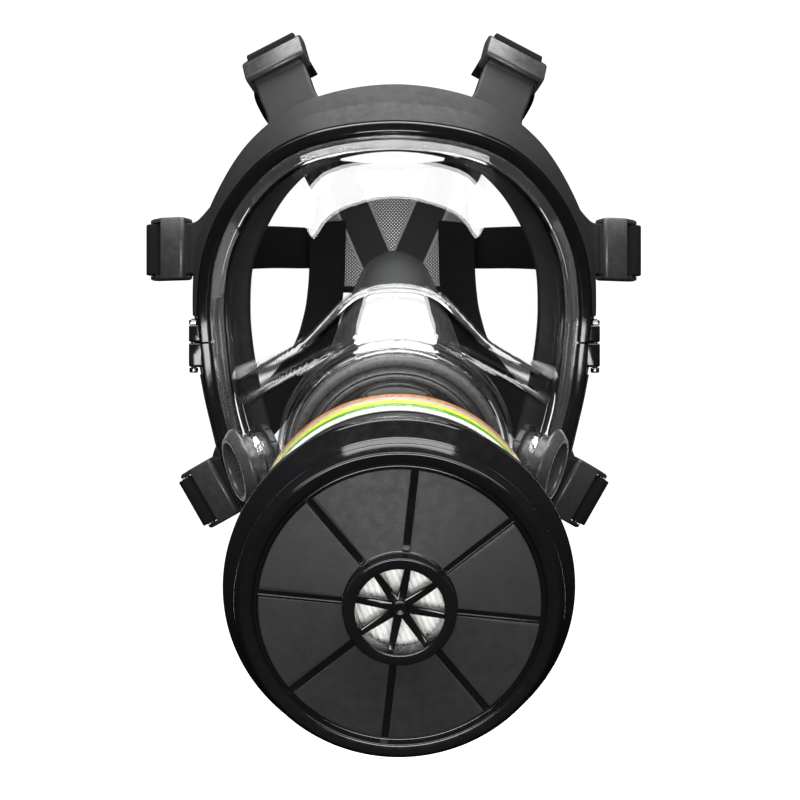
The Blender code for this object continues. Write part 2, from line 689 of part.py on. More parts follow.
for side in (-1, 1):
    which = side_name(side)
    frame = port_frame(side)
    boolean(visor, rod(f"port_hole_{which}", PORT_RADIUS + 2 * GAP, -22, 24, frame, sides=24))
    turned(f"side_port_body_{which}", [
        (PORT_RADIUS, -12.4), (PORT_RADIUS, 1.4), (17.0, 1.4), (17.0, 2.6), (16.2, 3.6), (13.8, 6.0), (12.0, 6.0),
        (11.2, 5.0), (11.2, -12.4),
    ], CLEAR, frame, 20)
    turned(f"side_port_nut_{which}", [(13.0, -9.2), (15.4, -9.2), (15.4, -12.0), (13.0, -12.0)], SATIN, frame, 20)
    seat = turned(f"exhalation_seat_{which}", [
        (10.9, -3.6), (10.9, -7.4), (8.6, -7.4), (8.6, -4.6), (9.8, -3.6)], SATIN, frame, 16)
    for k in range(2):
        boolean(seat, block(f"exhalation_spoke_{which}_{k}", (-9.4, -0.9, -7.2), (9.4, 0.9, -4.8), frame,
                            turn=k * math.pi / 2), "UNION")
    rod(f"exhalation_valve_{which}", 10.0, -3.3, -2.6, frame, VALVE, sides=16)
    cover = turned(f"exhalation_cover_{which}", [
        (0, 2.4), (3.4, 2.4), (9.0, 3.4), (10.9, 4.6), (10.9, 2.2), (9.0, 1.4), (3.4, 0.4), (0, 0.4)], BLACK, frame, 16)
    for k in range(8):
        angle = math.tau * (k + 0.3) / 8
        hole = rod(f"cover_hole_{which}_{k}", 1.0, -3, 9, frame, offset=(6.4 * math.cos(angle), 6.4 * math.sin(angle)),
                   sides=5)
        boolean(cover, hole)

# ---------------------------------------------------------------- nose cup

cup_rings = [resample(smooth_path(closed_half(ring), True), CUP_COUNT, True, [0, 1, 2]) for ring in CUP_RINGS]
for level in CUP_COLLAR_LEVELS:
    centre = HOUSING_CENTRE + HOUSING_OUT * level
    ring = []
    for x, z, _y in cup_rings[-1]:
        direction = Vector((x, 0, z)) - Vector((0, 0, centre.z))
        flat = Vector((direction.x, 0, 0)) + HOUSING_UP * direction.dot(HOUSING_UP)
        point = centre + flat.normalized() * CUP_COLLAR_RADIUS
        ring.append((point.x, point.z, point.y))
    cup_rings.append(np.array(ring))
verts, faces = loft([[(p[0], p[2], p[1]) for p in ring] for ring in cup_rings])
cup = add("nose_cup", open_shell("nose_cup", verts, faces, (0, 0, 1)), SILICONE)
thicken(cup, CUP_WALL, -1)

for side in (-1, 1):
    which = side_name(side)
    centre = Vector((-side * NOSE_VALVE_AT.x, NOSE_VALVE_AT.y, NOSE_VALVE_AT.z))
    frame = frame_of(centre, (0, side, 0), (0, 0, 1))
    boolean(cup, rod(f"nose_hole_{which}", 9.1, -12, 12, frame, sides=14))
    seat = turned(f"nose_valve_seat_{which}", [
        (11.0, 3.4), (11.0, 4.6), (6.4, 4.6), (6.4, -4.2), (8.7, -4.2), (8.7, 3.4)], SATIN, frame, 14)
    boolean(seat, block(f"nose_spoke_{which}", (-7.4, -0.8, -4.0), (7.4, 0.8, -2.2), frame), "UNION")
    rod(f"nose_valve_{which}", 7.9, -5.2, -4.5, frame, VALVE, sides=14)

# ---------------------------------------------------------------- buckles

def buckle_mesh():
    rings = [[(x, y, z) for y, z in BUCKLE_PROFILE] for x in (-BUCKLE_HALF_WIDTH, BUCKLE_HALF_WIDTH)]
    body = add("buckle", mesh_from("buckle", *loft(rings, caps=True)), None)
    window = BUCKLE_WINDOW
    across = Matrix.Rotation(math.pi / 2, 4, "Y")
    helpers = [
        (block("window_lug", (-window, -6, -6), (window, 4.6, 4.4)), "DIFFERENCE"),
        (block("window_strap", (-window, 9.3, -6), (window, 25, 12)), "DIFFERENCE"),
        (rod("lug_bar", LUG_BAR_RADIUS, -window - 1.2, window + 1.2, across, sides=10), "UNION"),
        (rod("pin_bore", PIN_RADIUS + GAP, -window - PIN_DEPTH - GAP, window + PIN_DEPTH + GAP,
             Matrix.Translation((0, ROLLER_AT * MM, 0)) @ across, sides=8), "DIFFERENCE"),
    ]
    for helper, operation in helpers:
        boolean(body, helper, operation)
    mesh = bake(body)
    for obj in [body] + [helper for helper, _ in helpers]:
        bpy.data.objects.remove(obj, do_unlink=True)
    return mesh


BUCKLE = buckle_mesh()
for kind in LUGS:
    for side in (-1, 1):
        name = f"{kind}_{side_name(side)}"
        frame = lug_frame(kind, side)
        add(f"buckle_{name}", BUCKLE.copy(), SATIN, frame)
        roller = frame @ Matrix.Translation((0, ROLLER_AT * MM, 0)) @ Matrix.Rotation(math.pi / 2, 4, "Y")
        half = BUCKLE_WINDOW - GAP
        end = BUCKLE_WINDOW + PIN_DEPTH
        turned(f"roller_{name}", [(0, end), (PIN_RADIUS, end), (PIN_RADIUS, half), (ROLLER_RADIUS, half),
                                  (ROLLER_RADIUS, -half), (PIN_RADIUS, -half), (PIN_RADIUS, -end), (0, -end)],
               BLACK, roller, 10)


# ---------------------------------------------------------------- head harness

def head_point(x, z, lift):
    """A point lifted off the head's surface behind the ears, from its width and height."""
    u = x / HEAD_RADII[0]
    w = (z - HEAD_CENTRE.z) / HEAD_RADII[2]
    y = HEAD_RADII[1] * math.sqrt(1 - u * u - w * w)
    normal = Vector((u / HEAD_RADII[0], y / HEAD_RADII[1] ** 2, w / HEAD_RADII[2])).normalized()
    return Vector((x, HEAD_CENTRE.y + y, z)) + normal * lift


def head_normal(point):
    away = Vector(point) - HEAD_CENTRE
    return Vector([away[k] / HEAD_RADII[k] ** 2 for k in range(3)]).normalized()


PAD_LIFT = PAD_THICK + 0.6 + STRAP_THICK / 2
STRAPS = {
    "upper": ([(-53.6, -19, 144.6), (-52.6, 2, 141.8), (-52, 36, 143.8), (-50.5, 75, 147.0), (-46, 104, 144.6)],
              [(-38.5, 131, PAD_LIFT), (-33, 121, PAD_LIFT), (-30, 113, PAD_LIFT)]),
    "middle": ([(-103.0, 9, 71.2), (-99.6, 25, 73), (-92.6, 50, 77), (-85.5, 75, 80.5), (-77.5, 101, 83.6)],
               [(-64, 86, PAD_LIFT), (-50, 87.5, PAD_LIFT), (-38, 88.5, PAD_LIFT), (-27, 89, PAD_LIFT)]),
    "lower": ([(-84.8, 8.3, -42.9), (-83.4, 20, -40.4), (-84.2, 48, -33.5), (-81, 82, -21), (-69, 113, -6)],
              [(-50, 22, -1.0), (-43, 45, -2.4), (-40, 66, -2.6), (-39, 86, -2.6), (-38.5, 104, -2.6)]),
}

pad_rows = 7
pad_cols = 9
pad_points = []
for j in range(pad_rows):
    t = j / (pad_rows - 1)
    z = PAD_Z[0] + (PAD_Z[1] - PAD_Z[0]) * t
    half = PAD_HALF_WIDTH[0] + (PAD_HALF_WIDTH[1] - PAD_HALF_WIDTH[0]) * t
    pad_points.append([head_point(half * (2 * i / (pad_cols - 1) - 1), z, 0) for i in range(pad_cols)])
verts, faces = loft(pad_points, close_around=False)
pad = add("head_pad", open_shell("head_pad", verts, faces, (0, 1, 0)), WEB)
thicken(pad, PAD_THICK, 1)


def strap_mesh(kind, side):
    """The strap from its free tail, over the roller and back to the head pad."""
    frame = lug_frame(kind, -1)
    loop = ROLLER_RADIUS + GAP + STRAP_THICK / 2
    local = [(17.2, -22), (17.4, -16), (ROLLER_AT + loop, -9), (ROLLER_AT + loop, -4)]
    for k in range(6):
        angle = math.pi * k / 5
        local.append((ROLLER_AT + loop * math.cos(angle), loop * math.sin(angle)))
    local += [(ROLLER_AT - loop, -4), (ROLLER_AT - loop + 0.2, -9)]
    near = [frame @ (Vector((0, y, z)) * MM) / MM for y, z in local]
    free, laid = STRAPS[kind]
    far = [Vector(p) for p in free] + [head_point(*p) for p in laid]
    run = smooth_path([near[-2], near[-1]] + far, False, 2)[2:]
    points = near[:-1] + [Vector(p) for p in run]
    bar = (frame.to_3x3() @ Vector((1, 0, 0)))
    first = len(near)
    across = []
    for i, point in enumerate(points):
        before = points[max(i - 1, 0)]
        after = points[min(i + 1, len(points) - 1)]
        tangent = (after - before).normalized()
        flat = head_normal(point).cross(tangent).normalized()
        if flat.dot(bar) < 0:
            flat = -flat
        blend = float(ease((i - first - 2) / 8))
        across.append(bar * (1 - blend) + flat * blend)
    count = len(points)
    verts, faces = ribbon(points, [STRAP_WIDTH] * count, [STRAP_THICK] * count, across)
    if side > 0:
        verts = [mirrored(v) for v in verts]
    return mesh_from(f"strap_{kind}_{side_name(side)}", verts, faces)


for kind in STRAPS:
    for side in (-1, 1):
        add(f"strap_{kind}_{side_name(side)}", strap_mesh(kind, side), WEB)

# ---------------------------------------------------------------- canister

cover = turned("canister_cover", COVER_PROFILE, BLACK, CANISTER, 32)
hub = turned("grille_hub", [(0, -1.9), (2.0, -1.9), (2.9, -1.2), (2.9, 1.6), (0, 1.6)], None, CANISTER, 16, "tool")
boolean(cover, hub, "UNION")
for k in range(GRILLE_SPOKES // 2):
    spoke = block(f"grille_spoke_{k}", (-15.6, -1.1, -1.4), (15.6, 1.1, 1.3), CANISTER,
                  turn=math.tau * k / GRILLE_SPOKES + math.radians(11))
    boolean(cover, spoke, "UNION")
for k in range(GRILLE_SPOKES):
    groove = block(f"panel_groove_{k}", (19.4, -0.8, -1.0), (43.8, 0.8, 0.9), CANISTER,
                   turn=math.tau * k / GRILLE_SPOKES + math.radians(6))
    boolean(cover, groove)

turned("canister_shell", [
    (CANISTER_RADIUS, 20.3), (CANISTER_RADIUS, 82.0), (50.5, 84.4), (47.0, CANISTER_REAR), (21.2, CANISTER_REAR),
    (21.2, 84.0), (46.4, 84.0), (50.6, 81.0), (50.6, 20.3),
], BLACK, CANISTER, 32)
turned("canister_label", [(52.3, LABEL_BACK[0]), (52.8, LABEL_BACK[0]), (52.8, LABEL_BACK[1]), (52.3, LABEL_BACK[1])],
       LABEL, CANISTER, 32)
turned("canister_base", [
    (17.0, 83.0), (20.8, 83.0), (20.8, 85.8), (27.0, 85.8), (27.0, 88.0), (THREAD_RADIUS, 88.4), (THREAD_RADIUS, 101.2),
    (19.2, NECK_END), (17.0, NECK_END),
], SATIN, CANISTER, 24)
turned("filter_gasket", [(15.4, 102.3), (19.6, 102.3), (19.6, 105.4), (15.4, 105.4)], RUBBER, CANISTER, 24)
turned("carbon_bed", [(0, 33.2), (50.0, 33.2), (50.0, 65.0), (0, 65.0)], CARBON, CANISTER, 32)
turned("screen_front", [(0, 31.6), (50.2, 31.6), (50.2, 32.8), (0, 32.8)], STEEL, CANISTER, 32)
turned("screen_rear", [(0, 65.4), (50.2, 65.4), (50.2, 66.6), (0, 66.6)], STEEL, CANISTER, 32)

half = 52.0
pitch = 2 * half / PLEATS
front_fold = []
for k in range(2 * PLEATS + 1):
    front_fold.append((-half + k * pitch / 2, 6.2 if k % 2 else 9.6))
fold = front_fold + [(half, 30.8), (-half, 30.8)]
pleats = add("particle_filter", mesh_from("particle_filter", *loft(
    [[(x, y, h) for x, h in fold] for y in (-half, half)], caps=True)), PAPER, CANISTER)
trim = pleats.modifiers.new("trim", "BOOLEAN")
trim.operation = "INTERSECT"
trim.solver = "EXACT"
trim.object = rod("pleat_trim", 49.8, 4, 31.2, CANISTER, sides=40)
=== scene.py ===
import math

import bmesh
import bpy
import numpy as np
from mathutils import Matrix, Vector


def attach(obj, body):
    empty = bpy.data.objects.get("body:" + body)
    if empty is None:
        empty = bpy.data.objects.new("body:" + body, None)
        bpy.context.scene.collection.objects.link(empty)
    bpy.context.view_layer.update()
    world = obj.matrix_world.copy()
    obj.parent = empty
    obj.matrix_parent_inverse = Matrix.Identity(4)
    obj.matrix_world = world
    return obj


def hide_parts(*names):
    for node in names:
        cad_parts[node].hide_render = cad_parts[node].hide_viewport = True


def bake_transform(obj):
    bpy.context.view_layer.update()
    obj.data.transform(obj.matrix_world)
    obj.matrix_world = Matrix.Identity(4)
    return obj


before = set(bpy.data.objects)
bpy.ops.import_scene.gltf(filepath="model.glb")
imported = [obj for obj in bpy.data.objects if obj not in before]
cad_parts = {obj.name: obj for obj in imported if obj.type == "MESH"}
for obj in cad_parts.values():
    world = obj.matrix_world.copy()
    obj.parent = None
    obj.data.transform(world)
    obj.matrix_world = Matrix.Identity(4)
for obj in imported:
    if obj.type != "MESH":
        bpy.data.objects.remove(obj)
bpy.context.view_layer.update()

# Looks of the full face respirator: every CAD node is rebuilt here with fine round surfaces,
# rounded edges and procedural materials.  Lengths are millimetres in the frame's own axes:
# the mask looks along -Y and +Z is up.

MM = 0.001
SIDES = {"left": -1, "right": 1}
AROUND = 240
TURNS = 128
SMALL_TURNS = 64
PORT_SIDES = 96
CANISTER_SIDES = 192
SHARP_ANGLE = math.radians(42)
BEVEL_ANGLE = math.radians(50)


# ---- driving dimensions

EDGE = [
    (0, 113, -72, 24.0, -30, 25), (31, 110, -68, 22.0, -28, 25), (52, 102, -60, 17.0, -22, 25),
    (69, 86, -50, 12.0, -12, 24), (80, 66, -40, 9.5, -4, 24), (84, 44, -33, 7.8, 2, 24),
    (83.4, 25, -30, 7.4, 5, 24), (81, 5, -30, 6.4, 5, 24), (77.4, -10, -32, 6.3, 2, 24),
    (73.2, -24, -36, 6.3, -2, 24), (66, -40, -42, 6.4, -8, 24), (50, -62, -52, 6.5, -14, 25),
    (28, -76, -60, 6.5, -18, 26), (0, -81, -63, 6.5, -20, 27),
]
BROW_LINE = [(-90, -94), (20, -94), (49, -92), (70, -88), (100, -78), (118, -68)]
LOWER_LINE = [(-85, -80), (-60, -106), (-45, -113), (-20, -118.5), (22.5, -118), (49, -110), (60, -106)]
UPPER_RIDGE = [(0, 49.4), (9, 48.4), (17, 44.7), (27.6, 34.4), (37, 25), (47, 19.4), (58, 15.4), (67, 13.7),
               (90, 12)]
LOWER_RIDGE = [(0, 22.6), (26.6, 17.7), (53, 5.6), (67, -1.7), (72, -2.4), (90, -3)]
SECTION_HALF_WIDTH = 92.0
BROW_DROP = 99.7
LOWER_DROP = 150.0
VISOR_THICKNESS = 2.5
VISOR_BRIM = 5.0
VISOR_CENTRE_Z = 22.0
VISOR_RINGS = 64

HOUSING_CENTRE = Vector((0, -116, -22.4))
TILT = math.radians(12.3)
BOSS_RADIUS = 43.0
BOSS_EDGE = 48.0
SPIGOT_RADIUS = 35.7
SOCKET_DROP = -20.0
SOCKET_RADIUS = 25.5
SOCKET_FRONT = 22.0
SOCKET_SHOULDER = 5.0
THREAD_RADIUS = 20.0
THREAD_PITCH = 3.63
PASSAGE_RADIUS = 12.5
SPEECH_RISE = 20.5
SPEECH_HALF_WIDTH = 16.2
SPEECH_HALF_HEIGHT = 10.7
SPEECH_SLOTS = [(26.6, 29.4, 24), (20.8, 23.6, 27), (15.0, 17.8, 27)]  # radii and half angle, degrees
FACE_TO_HOUSING = 110.8

PORT_CENTRE = Vector((-62.6, -74.3, -28.0))
PORT_TURN = math.radians(69)
PORT_DIP = math.radians(16)
PORT_RADIUS = 12.6
COVER_HOLES = [(8.3, 16, 0.62), (6.3, 12, 0.62), (4.3, 8, 0.55)]  # circle, count and radius

JOINT_Z = 26.0
JOINT_GAP = 0.4
EAR_Z = (15.0, 34.0)
SCREW_PROFILE = [(0, 37.0), (1.2, 37.0), (1.2, 14.7), (2.0, 14.7), (2.0, 12.9), (1.6, 12.4), (0, 12.4)]

LUGS = {
    "upper": dict(
        bar=(-51.8, -38, 146.8), axis=(0.894, -0.182, 0.409), reach=(-0.24, 0.66, 0.71),
        path=[(-37, -55, 105), (-39, -54, 113), (-44, -51.5, 126), (-48.4, -45, 137.5)],
        widths=[54, 41, 25.5, 24.4], thick=[6, 7, 5.2, 4.2],
    ),
    "middle": dict(
        bar=(-98.6, -7, 70.9), axis=(0, 0, 1), reach=(-0.94, 0.34, 0),
        path=[(-84, -15, 70.9), (-91.5, -10.5, 70.9)], widths=[38, 25.4], thick=[6, 4.6],
    ),
    "lower": dict(
        bar=(-79.6, -8, -40.0), axis=(-0.496, 0, 0.868), reach=(-0.82, 0.32, -0.47),
        path=[(-68, -19, -33.2), (-74.5, -12.8, -36.9)], widths=[36, 25.4], thick=[6, 4.6],
    ),
}
BUCKLE_HALF_WIDTH = 14.5
BUCKLE_WINDOW = 12.5
BUCKLE_PROFILE = [(-2.8, -3.0), (16.0, -3.0), (17.4, -1.6), (17.4, 1.4), (9.4, 6.3), (-1.4, 6.3), (-2.8, 4.9)]
PIN_DEPTH = 0.9
GAP = 0.3
LUG_BAR_RADIUS = 1.9
LUG_LOOP_RADIUS = 3.9
LUG_LOOP_HALF = 12.1
LUG_LOOP_THICK = 4.0
ROLLER_AT = 14.8
ROLLER_RADIUS = 2.9
PIN_RADIUS = 1.1

HEAD_CENTRE = Vector((0, 75, 60))
HEAD_RADII = (80.0, 90.0, 110.0)
STRAP_WIDTH = 23.8
STRAP_THICK = 1.6
PAD_THICK = 1.2
PAD_Z = (66.0, 134.0)
PAD_HALF_WIDTH = (46.0, 39.0)
PAD_LIFT = PAD_THICK + 0.6 + STRAP_THICK / 2
STRAPS = {
    "upper": ([(-53.6, -19, 144.6), (-52.6, 2, 141.8), (-52, 36, 143.8), (-50.5, 75, 147.0),
               (-46, 104, 144.6)],
              [(-38.5, 131, PAD_LIFT), (-33, 121, PAD_LIFT), (-30, 113, PAD_LIFT)]),
    "middle": ([(-103.0, 9, 71.2), (-99.6, 25, 73), (-92.6, 50, 77), (-85.5, 75, 80.5), (-77.5, 101, 83.6)],
               [(-64, 86, PAD_LIFT), (-50, 87.5, PAD_LIFT), (-38, 88.5, PAD_LIFT), (-27, 89, PAD_LIFT)]),
    "lower": ([(-84.8, 8.3, -42.9), (-83.4, 20, -40.4), (-84.2, 48, -33.5), (-81, 82, -21), (-69, 113, -6)],
              [(-50, 22, -1.0), (-43, 45, -2.4), (-40, 66, -2.6), (-39, 86, -2.6), (-38.5, 104, -2.6)]),
}

CUP_RINGS = [
    [(0, 66, -27), (7, 64.5, -26), (14, 59, -24), (22, 42, -17), (30, 22, -11), (38, 0, -7), (42, -17, -7),
     (40.5, -33, -10), (32, -46, -16), (18, -52, -24), (0, -54, -27)],
    [(0, 65, -46), (6.5, 63.5, -45), (13.5, 58, -43), (21, 41.5, -38), (28, 22, -34), (34.5, 0, -32),
     (38, -18, -32), (37.5, -34, -34), (31, -48, -38), (17, -56, -43), (0, -58.5, -45)],
    [(0, 63, -67), (6.5, 61.5, -66.5), (13.5, 56, -65), (21, 40, -62), (27.5, 21, -60), (33, 0, -59),
     (36.5, -18, -59), (37, -36, -60), (30.5, -51, -62), (17, -59, -64), (0, -62, -65)],
    [(0, 50, -83), (7, 48.5, -83), (14, 44, -82), (21.5, 33, -81), (28.5, 17, -80), (34, -1, -80),
     (37.4, -18, -80), (37.6, -36, -80), (31, -50, -81), (17, -58.5, -82), (0, -61.5, -83)],
]
CUP_COUNT = 140
CUP_COLLAR_RADIUS = 38.4
CUP_COLLAR_LEVELS = (-11.6, -7.0)
CUP_WALL = 1.9
NOSE_VALVE_AT = Vector((-32.2, -47, 8))

COVER_PROFILE = [
    (14.2, -5.5), (17.5, -5.5), (17.9, -5.1), (17.9, 0.0), (45.2, 0.0), (45.4, 1.3), (46.5, 1.3),
    (47.1, -1.0), (50.6, -1.5), (52.9, 1.8), (52.9, 8.5), (57.8, 14.2), (57.8, 18.8), (56.6, 19.8),
    (50.5, 19.8), (50.5, 4.2), (46.0, 2.4), (14.2, 2.4),
]
CANISTER_RADIUS = 52.0
CANISTER_REAR = 85.5
LABEL_BACK = (50.0, 76.0)
NECK_END = 102.0
SPOKES = 8
SPOKE_TURN = math.radians(11)
GROOVE_TURN = math.radians(6)
GROOVE_HALF = 1.2
PLEAT_PITCH = 1.7
PLEAT_RADIUS = 49.8
PLEAT_FRONT = (7.3, 6.4)
PLEAT_BACK = 30.8
PLEAT_TURN = math.radians(-22)
PANEL_RADII = (18.3, 45.0)


# ---- materials

LOOKS = {}
# Name, slot, colour, roughness, grain and its depth in millimetres, spread of the roughness, specular.
MOULDED = [
    ("rubber", "rubber_black", (0.015, 0.0148, 0.0143), 0.52, 0.55, 0.05, 0.07, 0.18),
    ("gasket", "rubber_black", (0.024, 0.024, 0.024), 0.62, 0.4, 0.04, 0.06, 0.5),
    ("silicone", "silicone_grey", (0.028, 0.028, 0.029), 0.45, 0.7, 0.03, 0.07, 0.25),
    ("gloss", "frame_black", (0.005, 0.005, 0.0055), 0.11, 1.2, 0.006, 0.03, 0.35),
    ("panel", "frame_black", (0.015, 0.015, 0.0145), 0.48, 0.42, 0.09, 0.06, 0.25),
    ("can", "frame_black", (0.006, 0.006, 0.006), 0.35, 0.8, 0.02, 0.05, 0.2),
    ("satin", "plastic_black", (0.024, 0.024, 0.024), 0.38, 0.5, 0.05, 0.07, 0.5),
    ("inner", "plastic_black", (0.045, 0.044, 0.043), 0.30, 0.8, 0.03, 0.06, 0.5),
    ("carbon", "activated_carbon", (0.010, 0.010, 0.010), 0.80, 1.0, 0.5, 0.1, 0.5),
]
CLEAR_TINT = (0.985, 0.992, 0.990, 1.0)
WEDGE = (0.451, -9.1)  # half width of the pad's middle mesh, as a slope up the pad and an offset
WEAVE_WIDTH = 21.5
SEAM_WIDTH = 1.8
BANDS = [(0.62, 0.62, 0.60), (0.07, 0.26, 0.02), (0.60, 0.54, 0.02), (0.40, 0.37, 0.31), (0.42, 0.17, 0.045)]


class Look:
    """A Principled material under construction, with short calls for its procedural detail."""

    def __init__(self, name, slot, colour, roughness, metallic=0.0, specular=0.5, **sockets):
        material = bpy.data.materials.new(name)
        material.use_nodes = True
        self.tree = material.node_tree
        self.shader = self.tree.nodes["Principled BSDF"]
        sockets.update(base_color=(*colour, 1.0), roughness=roughness, metallic=metallic)
        for socket, value in sockets.items():
            self.shader.inputs[socket.replace("_", " ").title()].default_value = value
        self.shader.inputs["Specular IOR Level"].default_value = specular
        self.place = self.node("TexCoord").outputs["Object"]
        self.height = None
        LOOKS[name] = material

    def node(self, kind, inputs=None, **settings):
        """A new node with its settings made, and each input linked or set."""
        made = self.tree.nodes.new("ShaderNode" + kind)
        for key, value in settings.items():
            setattr(made, key, value)
        for socket, value in (inputs or {}).items():
            if hasattr(value, "is_linked"):
                self.link(value, made.inputs[socket])
            else:
                made.inputs[socket].default_value = value
        return made

    def link(self, a, b):
        self.tree.links.new(a, b)

    def noise(self, pitch, detail=3.0, stretch=(1, 1, 1)):
        """Noise whose grain is about pitch millimetres; stretch draws it out along an axis."""
        scale = [1 / (pitch * MM * s) for s in stretch]
        grid = self.node("Mapping", {"Vector": self.place, "Scale": scale}).outputs["Vector"]
        return self.node("TexNoise", {"Vector": grid, "Scale": 1.0, "Detail": detail}).outputs["Fac"]

    def math(self, operation, *values):
        return self.node("Math", dict(enumerate(values)), operation=operation).outputs[0]

    def span(self, factor, low, high, start=0.35, end=0.65):
        """Goes from low to high as the factor goes from start to end."""
        ends = {"From Min": start, "From Max": end, "To Min": low, "To Max": high}
        return self.node("MapRange", {**ends, "Value": factor}).outputs["Result"]

    def mix_colour(self, factor, a, b):
        a, b = (value if hasattr(value, "is_linked") else (*value, 1.0) for value in (a, b))
        return self.node("Mix", {"Factor": factor, "A": a, "B": b}, data_type="RGBA").outputs["Result"]

    def tint(self, factor, a, b):
        self.link(self.mix_colour(factor, a, b), self.shader.inputs["Base Color"])

    def rough(self, factor, low, high):
        self.link(self.span(factor, low, high), self.shader.inputs["Roughness"])

    def bump(self, height, strength, depth):
        """Adds a bump of depth millimetres on top of the ones before."""
        inputs = {"Strength": strength, "Distance": depth * MM, "Height": height}
        if self.height is not None:
            inputs["Normal"] = self.height
        self.height = self.node("Bump", inputs).outputs["Normal"]
        self.link(self.height, self.shader.inputs["Normal"])

    def split(self, vector):
        return self.node("SeparateXYZ", {0: vector}).outputs

    def uv(self):
        """Across and along a woven band, in millimetres."""
        return self.split(self.node("UVMap", uv_map="weave").outputs["UV"])[:2]

    def wave(self, value, pitch):
        return self.math("SINE", self.math("MULTIPLY", value, math.tau / pitch))


def moulded(name, slot, colour, roughness, grain, depth, spread, specular, **sockets):
    """Moulded rubber or plastic: mottled tone, uneven gloss, fine grain and slight waviness."""
    look = Look(name, slot, colour, roughness, specular=specular, **sockets)
    look.tint(look.noise(9.0, 4.0), [c * 0.78 for c in colour], [c * 1.25 for c in colour])
    look.rough(look.noise(3.0, 5.0), roughness - spread, roughness + spread)
    look.bump(look.noise(14.0, 2.0), 0.25, 0.25)
    look.bump(look.noise(grain, 3.0), 0.5, depth)


def clear_look():
    """Polished polycarbonate: see-through, more mirror-like at a grazing angle, refracting at tight folds."""
    look = Look("clear", "visor_clear", (1.0, 1.0, 1.0), 0.01, 1.0)
    look.rough(look.noise(6.0, 6.0), 0.0, 0.025)
    look.bump(look.noise(30.0, 1.0), 0.12, 0.2)
    thin = look.node("BsdfTransparent", {"Color": CLEAR_TINT})
    facing = look.node("LayerWeight", {"Blend": 0.5}).outputs["Facing"]
    shine = look.math("MULTIPLY_ADD", look.math("POWER", facing, 5.0), 0.95, 0.05)
    flat = look.node("MixShader", {0: shine, 1: thin.outputs[0], 2: look.shader.outputs[0]})
    thick = look.node("BsdfGlass", {"Color": CLEAR_TINT, "Roughness": 0.01, "IOR": 1.58})
    pointed = look.node("NewGeometry").outputs["Pointiness"]
    bend = look.math("ABSOLUTE", look.math("SUBTRACT", pointed, 0.5))
    fold = look.span(bend, 0.0, 0.9, 0.003, 0.02)
    whole = look.node("MixShader", {0: fold, 1: flat.outputs[0], 2: thick.outputs[0]})
    look.link(whole.outputs[0], look.tree.nodes["Material Output"].inputs["Surface"])


def woven_look():
    """Polyester webbing: ribs across the band, a finer twill along it and slubs."""
    look = Look("webbing", "webbing_black", (0.010, 0.010, 0.011), 0.85, specular=0.06)
    across, along = look.uv()
    rib = look.wave(along, 1.15)
    twill = look.wave(look.math("ADD", across, look.math("MULTIPLY", along, 0.6)), 0.95)
    weave = look.math("MULTIPLY", rib, twill)
    look.tint(look.span(weave, 0, 1, -1, 1), (0.003, 0.003, 0.004), (0.012, 0.012, 0.013))
    look.bump(look.span(look.math("ADD", weave, rib), 0, 1, -2, 2), 0.8, 0.25)
    look.bump(look.noise(0.5, 3.0), 0.4, 0.08)


def mesh_look():
    """Head pad fabric: open mesh in a central wedge and at the sides, close weave between."""
    look = Look("pad_mesh", "mesh_fabric", (0.05, 0.05, 0.05), 0.7, specular=0.3)
    across, along = look.uv()
    cells, fine = (look.math("MULTIPLY", look.wave(across, p), look.wave(along, p)) for p in (1.9, 0.8))
    past = look.math("SUBTRACT", look.math("ABSOLUTE", across), look.math("MULTIPLY_ADD", along, *WEDGE))
    outer = look.math("GREATER_THAN", past, WEAVE_WIDTH)
    open_mesh = look.math("MAXIMUM", look.math("LESS_THAN", past, 0.0), outer)
    seams = [look.math("COMPARE", past, edge, SEAM_WIDTH / 2) for edge in (0.0, WEAVE_WIDTH)]
    seam = look.math("MAXIMUM", *seams)
    close = look.mix_colour(look.span(fine, 0, 1, -1, 1), (0.008, 0.008, 0.008), (0.022, 0.022, 0.022))
    look.tint(seam, look.mix_colour(open_mesh, close, (0.095, 0.095, 0.092)), (0.24, 0.24, 0.23))
    relief = look.math("ADD", fine, look.math("MULTIPLY", cells, 2.0))
    look.bump(look.span(relief, 0, 1, -3, 3), 0.7, 0.3)
    hole = look.math("MULTIPLY", look.math("GREATER_THAN", cells, 0.36), open_mesh)
    hole = look.math("MULTIPLY", hole, look.math("SUBTRACT", 1.0, seam))
    look.link(look.math("SUBTRACT", 1.0, hole), look.shader.inputs["Alpha"])


def label_look():
    """Plain colour bands round the canister, white at the front and orange brown at the rear."""
    look = Look("label_bands", "label_film", (0.8, 0.8, 0.8), 0.32, coat_weight=0.4)
    back = look.split(look.place)["Z"]
    ramp = look.node("ValToRGB", {"Fac": look.span(back, 0, 1, LABEL_BACK[0] * MM, LABEL_BACK[1] * MM)})
    stops = ramp.color_ramp.elements
    ramp.color_ramp.interpolation = "CONSTANT"
    for k, band in enumerate(BANDS):
        stop = stops[k] if k < 2 else stops.new(k / len(BANDS))
        stop.position = k / len(BANDS)
        stop.color = (*band, 1.0)
    look.tint(look.span(look.noise(1.4, 6.0), 0, 0.22, 0.45, 0.8), ramp.outputs["Color"], (0.30, 0.28, 0.24))
    look.rough(look.noise(2.5, 4.0), 0.24, 0.42)
    look.bump(look.noise(4.0, 3.0), 0.3, 0.05)


